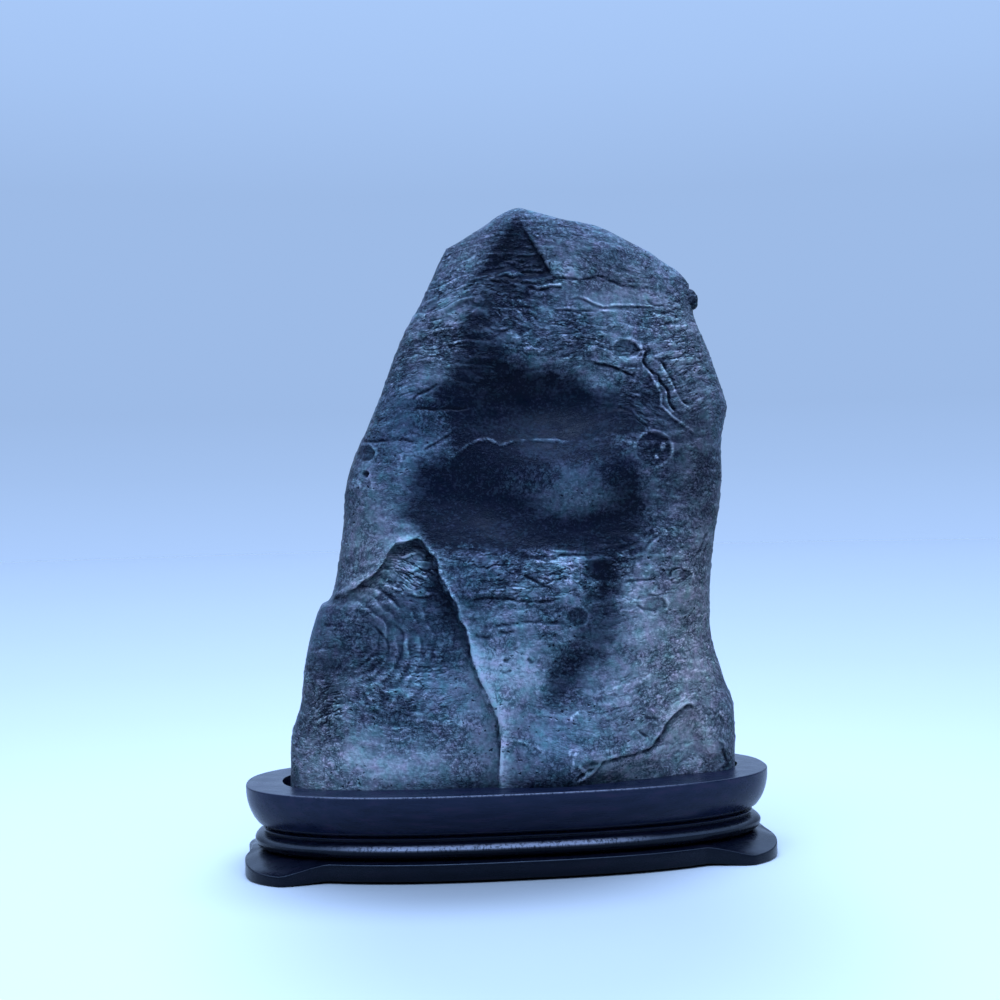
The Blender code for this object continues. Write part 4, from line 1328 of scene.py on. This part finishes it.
def attribute(tree, name):
    """A number drawn on the mesh."""
    return add_node(tree, "Attribute", attribute_name=name).outputs["Fac"]


def step(tree, value, low, high):
    """0 below low, 1 above high, and a smooth S between."""
    return add_node(tree, "MapRange", value, low, high, interpolation_type="SMOOTHSTEP").outputs[0]


def noise(tree, place, scale, detail=2.0, rough=0.5, stretch=None):
    """Noise from 0 to 1 about 0.5, from positions in metres; stretch multiplies the frequency by axis."""
    if stretch:
        place = vectors(tree, "MULTIPLY", place, stretch)
    made = add_node(tree, "TexNoise")
    feed_all(tree, made, Vector=place, Scale=scale, Detail=detail, Roughness=rough)
    return made.outputs["Fac"]


def patches(tree, place, low, high, *kind):
    """1 where a noise is over high, 0 where it is under low."""
    return step(tree, noise(tree, place, *kind), low, high)


def specks(tree, place, scale, radius, share):
    """Small round spots of all sizes up to a radius, in a share of the cells of a random pattern."""
    cells = add_node(tree, "TexVoronoi")
    feed_all(tree, cells, Vector=place, Scale=scale)
    pick = add_node(tree, "SeparateColor", cells.outputs["Color"]).outputs[0]
    reach = maths(tree, "MULTIPLY", pick, radius / share)
    spot = step(tree, maths(tree, "SUBTRACT", reach, cells.outputs["Distance"]), 0, radius * 0.4)
    return product(tree, spot, maths(tree, "LESS_THAN", pick, share))


def frayed(tree, place, scale, reach):
    """Positions shifted a little at random, so that what is drawn there has a ragged edge."""
    ragged = add_node(tree, "TexNoise")
    feed_all(tree, ragged, Vector=place, Scale=scale)
    centred = vectors(tree, "ADD", ragged.outputs["Color"], (-0.5, -0.5, -0.5))
    return vectors(tree, "ADD", place, scaled_by(tree, centred, reach))


def creases(tree, place, width, *kind):
    """Thin wavering lines: 1 along their middle."""
    off = maths(tree, "ABSOLUTE", maths(tree, "SUBTRACT", noise(tree, place, *kind), 0.5))
    return step(tree, off, width, width * 0.3)


def bumped(tree, shader, height):
    """Relief of a height in mm."""
    bump = add_node(tree, "Bump")
    feed_all(tree, bump, Strength=1.0, Distance=MM, Height=height)
    feed_all(tree, shader, Normal=bump.outputs["Normal"])


# -------- materials

# A noise is its scale in 1/m, detail, roughness, and how much finer it is by axis. Patches have the values
# between which they show first. Creases have their width first. Specks have scale, radius and share.
STREAKS = (80, 3, 0.55, (1, 1, 3))
FLAKES = (0.46, 0.55, 230, 3, 0.55, (1, 1, 2.4))
CHIPS = (0.45, 0.55, 520, 2, 0.6, (1, 1, 1.8))
GRAIN = (1000, 1, 0.6)
HUE_SPOTS = (330, 2)
BED_PATCHES = (0.42, 0.56, 62, 2)
WORN_PATCHES = (0.42, 0.58, 75, 3)
SCRIBBLE_PATCHES = (0.44, 0.58, 85, 2)
PIT_PATCHES = (0.44, 0.6, 48, 2)
BED_LINES = (0.035, 105, 3, 0.6, (1, 1, 3.2))
WRINKLES = (0.075, 330, 3, 0.6, (1, 1, 1.9))
SCRIBBLES = (0.085, 620, 3, 0.6)
PITS = (620, 0.4, 0.6)
PIT_STRETCH = (1, 1, 1.7)
PIT_TONES = (0.3, 0.45)  # on ground darker than the first there are none
FLECKS = (330, 0.22, 0.12)
STONE_DUST = (900, 0.4, 0.3)
# How lines and spots are frayed: scale of the noise, reach.
PIT_FRAY = (700, 1.6 * MM)
WRINKLE_FRAY = (280, 2.6 * MM)
SCRIBBLE_FRAY = (500, 1.8 * MM)
DUST_FRAY = (900, MM)
# How far up the pattern is read again, which paints a pale copy of it that far under the dark one: a
# painted highlight under each line and pit.
LINE_HIGHLIGHT_SHIFT = (0, 0, 0.5 * MM)
PIT_HIGHLIGHT_SHIFT = (0, 0, 0.45 * MM)
SLATE_TONE = {"drawn": 1.0, "streaks": 0.32, "flakes": 0.16, "chips": 0.22, "grain": 0.44, "lines": -0.48,
              "line highlights": 0.24, "pits": -0.42, "pit highlights": 0.12, "flecks": 0.2, "dust": 0.12,
              "wrinkles": -0.29, "scribbles": -0.24}
SLATE_TONE_BASE = 0.285  # about the mean of the marks, taken off again
SLATE_ROUGHNESS = {"grain": 0.3, "chip patches": -0.08, "streaks": 0.75}
SLATE_RELIEF = {"flakes": 0.22, "chips": 0.14, "grain": 0.12, "lines": -0.2, "pits": -0.25,
                "wrinkles": -0.15}
SLATE_GLOSS = 0.045

FIBRES = (70, 5, 0.6, (1, 7, 7))
PORES = (260, 3, 0.6, (1, 9, 9))
TOOL_MARKS = (150, 2, 0.5, (1, 1, 1.6))
RUBBED_AND_HIGHLIGHT_PATCHES = (0.3, 0.56, 1500, 2, 0.65, (1, 1, 0.3))
WOOD_DUST_FRAY = (900, 1.2 * MM)
WOOD_DUST = (170, 0.09, 0.2)
# Below the bowl, over the roll and the apron, the lacquer is painted darker, painted shade; on the rim's
# top it is darker too.
BOWL_PALER = (9.5 * MM, 14 * MM)
RIM_DARKER = (24.6 * MM, 24.95 * MM)
WOOD_LIGHT = {"bowl": 0.8, "rim": -0.45, "all": 1.0}
WOOD_LEAST_LIGHT = 0.2
WOOD_ROUGHNESS = {"pores": 0.3, "tool marks": 0.2, "rubbed and highlight": 0.15, "fibres": 0.1}
WOOD_RELIEF = {"tool marks": 0.12, "pores": 0.02, "fibres": 0.02}
WOOD_GLOSS = 0.2
WOOD_GLOSS_TINT = (0.7, 0.82, 1.0, 1)
RUBBED_AND_HIGHLIGHT_SHARE = 0.85
DUST_SHARE = 0.5

PAPER_ROUGHNESS = 0.9
PAPER_GLOSS = 0.1


def stone_material():
    """Dark slate: tone with its painted light and shade, bedding and tints are drawn on the mesh, and the
    grain, with painted highlights under its lines and pits, is added here.
    """
    made, tree, shader, place = new_material("slate")
    drawn, level, ripple, warmth = (attribute(tree, name) for name in DRAWN)
    split = add_node(tree, "SeparateXYZ", place)
    bedded = add_node(tree, "CombineXYZ", split.outputs["X"], split.outputs["Y"], level).outputs[0]
    ragged = frayed(tree, bedded, *PIT_FRAY)

    worn_places = patches(tree, place, *WORN_PATCHES)
    lined_places = product(tree, patches(tree, place, *BED_PATCHES), ripple)
    pitted = maths(tree, "MULTIPLY_ADD", ripple, 0.5, patches(tree, place, *PIT_PATCHES))
    pitted = product(tree, pitted, step(tree, drawn, *PIT_TONES))
    wrinkled = maths(tree, "MULTIPLY_ADD", ripple, 0.6, 0.25)
    chipped = maths(tree, "MULTIPLY_ADD", ripple, 0.85, 0.15)
    wrinkles = creases(tree, frayed(tree, bedded, *WRINKLE_FRAY), *WRINKLES)
    scribbles = creases(tree, frayed(tree, place, *SCRIBBLE_FRAY), *SCRIBBLES)
    chips = patches(tree, bedded, *CHIPS)
    flakes = patches(tree, bedded, *FLAKES)
    line_highlight_place = vectors(tree, "ADD", bedded, LINE_HIGHLIGHT_SHIFT)

    def pits_at(where):
        return product(tree, specks(tree, vectors(tree, "MULTIPLY", where, PIT_STRETCH), *PITS), pitted)

    marks = {
        "drawn": drawn,
        "streaks": noise(tree, bedded, *STREAKS),
        "flakes": product(tree, maths(tree, "SUBTRACT", flakes, 0.5), ripple),
        "chip patches": chips,
        "chips": product(tree, maths(tree, "SUBTRACT", chips, 0.5), chipped, worn_places),
        "grain": noise(tree, place, *GRAIN),
        "lines": product(tree, creases(tree, bedded, *BED_LINES), lined_places),
        # painted highlights under the lines and pits
        "line highlights": product(tree, creases(tree, line_highlight_place, *BED_LINES), lined_places),
        "pits": pits_at(ragged),
        "pit highlights": pits_at(vectors(tree, "ADD", ragged, PIT_HIGHLIGHT_SHIFT)),
        "flecks": specks(tree, ragged, *FLECKS),
        "dust": specks(tree, frayed(tree, place, *DUST_FRAY), *STONE_DUST),
        "wrinkles": product(tree, wrinkles, wrinkled, worn_places),
        "scribbles": product(tree, scribbles, patches(tree, place, *SCRIBBLE_PATCHES)),
    }
    tone = maths(tree, "SUBTRACT", weighed(tree, marks, SLATE_TONE), SLATE_TONE_BASE)
    hue = maths(tree, "SUBTRACT", noise(tree, place, *HUE_SPOTS), 0.5)
    red = maths(tree, "ADD", total(tree, (warmth, 0.2), (hue, 1.2)), 1.0)
    blue = maths(tree, "ADD", total(tree, (warmth, -0.1), (hue, 0.4)), 1.0)
    tint = add_node(tree, "CombineXYZ", red, 1.0, blue).outputs[0]
    colour = vectors(tree, "MULTIPLY", coloured(tree, tone, STONE_COLOURS), tint)
    feed(tree, shader.inputs["Base Color"], colour)
    feed(tree, shader.inputs["Roughness"], weighed(tree, marks, SLATE_ROUGHNESS))
    shader.inputs["Specular IOR Level"].default_value = SLATE_GLOSS
    bumped(tree, shader, weighed(tree, marks, SLATE_RELIEF))
    return made


def wood_material():
    """Near-black lacquered rosewood: grain along the stand, a rubbed rim with a painted highlight, a
    painted highlight along the roll, painted shade on the lower mouldings, tool marks and a little dust.
    """
    made, tree, shader, place = new_material("rosewood")
    marks = {
        "fibres": noise(tree, place, *FIBRES),
        "pores": noise(tree, place, *PORES),
        "tool marks": noise(tree, place, *TOOL_MARKS),
        "rubbed and highlight": product(tree, attribute(tree, "wear_and_highlight"), patches(tree, place, *RUBBED_AND_HIGHLIGHT_PATCHES)),
    }
    high = add_node(tree, "SeparateXYZ", place).outputs["Z"]
    # Painted shade on the lower mouldings: the colour is darker below the bowl.
    bowl = step(tree, high, *BOWL_PALER)
    light = {"bowl": bowl, "rim": step(tree, high, *RIM_DARKER), "all": WOOD_LEAST_LIGHT}
    colour = coloured(tree, marks["fibres"], WOOD_COLOURS)
    colour = scaled_by(tree, colour, weighed(tree, light, WOOD_LIGHT))
    colour = blend(tree, product(tree, marks["rubbed and highlight"], RUBBED_AND_HIGHLIGHT_SHARE), colour, RUBBED_AND_HIGHLIGHT_WOOD)
    dust = specks(tree, frayed(tree, place, *WOOD_DUST_FRAY), *WOOD_DUST)
    colour = blend(tree, product(tree, dust, DUST_SHARE), colour, DUST)
    feed(tree, shader.inputs["Base Color"], colour)
    feed(tree, shader.inputs["Roughness"], weighed(tree, marks, WOOD_ROUGHNESS))
    shader.inputs["Specular IOR Level"].default_value = WOOD_GLOSS
    shader.inputs["Specular Tint"].default_value = WOOD_GLOSS_TINT
    bumped(tree, shader, weighed(tree, marks, WOOD_RELIEF))
    return made


def soft_spot(tree, place, middle, squeeze, reach, darkest):
    """A factor that rises from darkest to 1 away from a place."""
    apart = vectors(tree, "MULTIPLY", vectors(tree, "SUBTRACT", place, middle), squeeze)
    return maths(tree, "MULTIPLY_ADD", step(tree, length_of(tree, apart), *reach), 1 - darkest, darkest)


def paper_material():
    """Matt paper with a painted pool of light, a little darker away from the object, and painted soft shade
    near it.
    """
    made, tree, shader, place = new_material("paper")
    shader.inputs["Roughness"].default_value = PAPER_ROUGHNESS
    shader.inputs["Specular IOR Level"].default_value = PAPER_GLOSS
    # painted pool of light on the paper
    out = length_of(tree, vectors(tree, "SUBTRACT", place, LIGHT_POOL_MIDDLE))
    stops = [(at / FLOOR_RADIUS, (level, level, level)) for at, level in PAPER_LIGHT_POOL]
    colour = coloured(tree, maths(tree, "DIVIDE", out, FLOOR_RADIUS), stops)
    dark = [soft_spot(tree, place, *spot) for spot in (PAPER_SHADE, PAPER_CONTACT)]
    feed(tree, shader.inputs["Base Color"], scaled_by(tree, colour, product(tree, *dark)))
    return made


# -------- stage, light and camera


def make_floor():
    """A wide round sheet of paper under the object."""
    bm = bmesh.new()
    bmesh.ops.create_circle(bm, cap_ends=True, segments=96, radius=FLOOR_RADIUS)
    floor = object_from(bm, "floor")
    floor.location.z = -FLOOR_DROP
    floor.data.materials.append(paper_material())
    return floor


def make_world():
    """Bright overhead, dim towards the front; behind the object it is a pale wall."""
    world = bpy.data.worlds.new("studio")
    bpy.context.scene.world = world
    world.use_nodes = True
    tree = world.node_tree
    tree.nodes.clear()
    way = add_node(tree, "SeparateXYZ", add_node(tree, "TexCoord").outputs["Generated"]).outputs
    height = add_node(tree, "MapRange", way["Z"], *WALL_SPAN).outputs[0]
    wall = coloured(tree, height, [(at, tuple(LIGHT_TINT * level)) for at, level in WALL])
    lights = [(step(tree, way[axis], low, high), level) for axis, low, high, level in SKY]
    light = scaled_by(tree, tuple(LIGHT_TINT), maths(tree, "ADD", total(tree, *lights), SKY_LEAST))
    shown = blend(tree, add_node(tree, "LightPath").outputs["Is Camera Ray"], light, wall)
    add_node(tree, "OutputWorld", add_node(tree, "Background", shown).outputs[0])


def make_softbox():
    """A large soft light overhead, a little in front."""
    data = bpy.data.lights.new("softbox", "AREA")
    data.shape = "RECTANGLE"
    data.size, data.size_y = SOFTBOX_SIZE
    data.energy = SOFTBOX_WATTS
    data.color = LIGHT_TINT
    light = add_object("softbox", data)
    light.location = SOFTBOX_AT
    light.rotation_euler = (math.radians(SOFTBOX_TILT), 0, 0)


def make_camera():
    """The camera, level, turned a little and rolled a little."""
    data = bpy.data.cameras.new("camera")
    data.lens = LENS
    data.clip_start = 0.01
    camera = add_object("camera", data)
    camera.matrix_world = Matrix.Translation(CAMERA_AT) @ CAMERA_TURN.to_4x4()
    bpy.context.scene.camera = camera


# -------- main


def main():
    bpy.context.scene.view_settings.view_transform = "Standard"
    make_camera()
    make_world()
    make_softbox()
    make_floor()
    stone = make_stone()
    stand = make_stand()
    for piece, node, finish in ((stone, "stone", "slate"), (stand, "stand", "rosewood")):
        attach(piece, "root")
        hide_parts(node)


main()
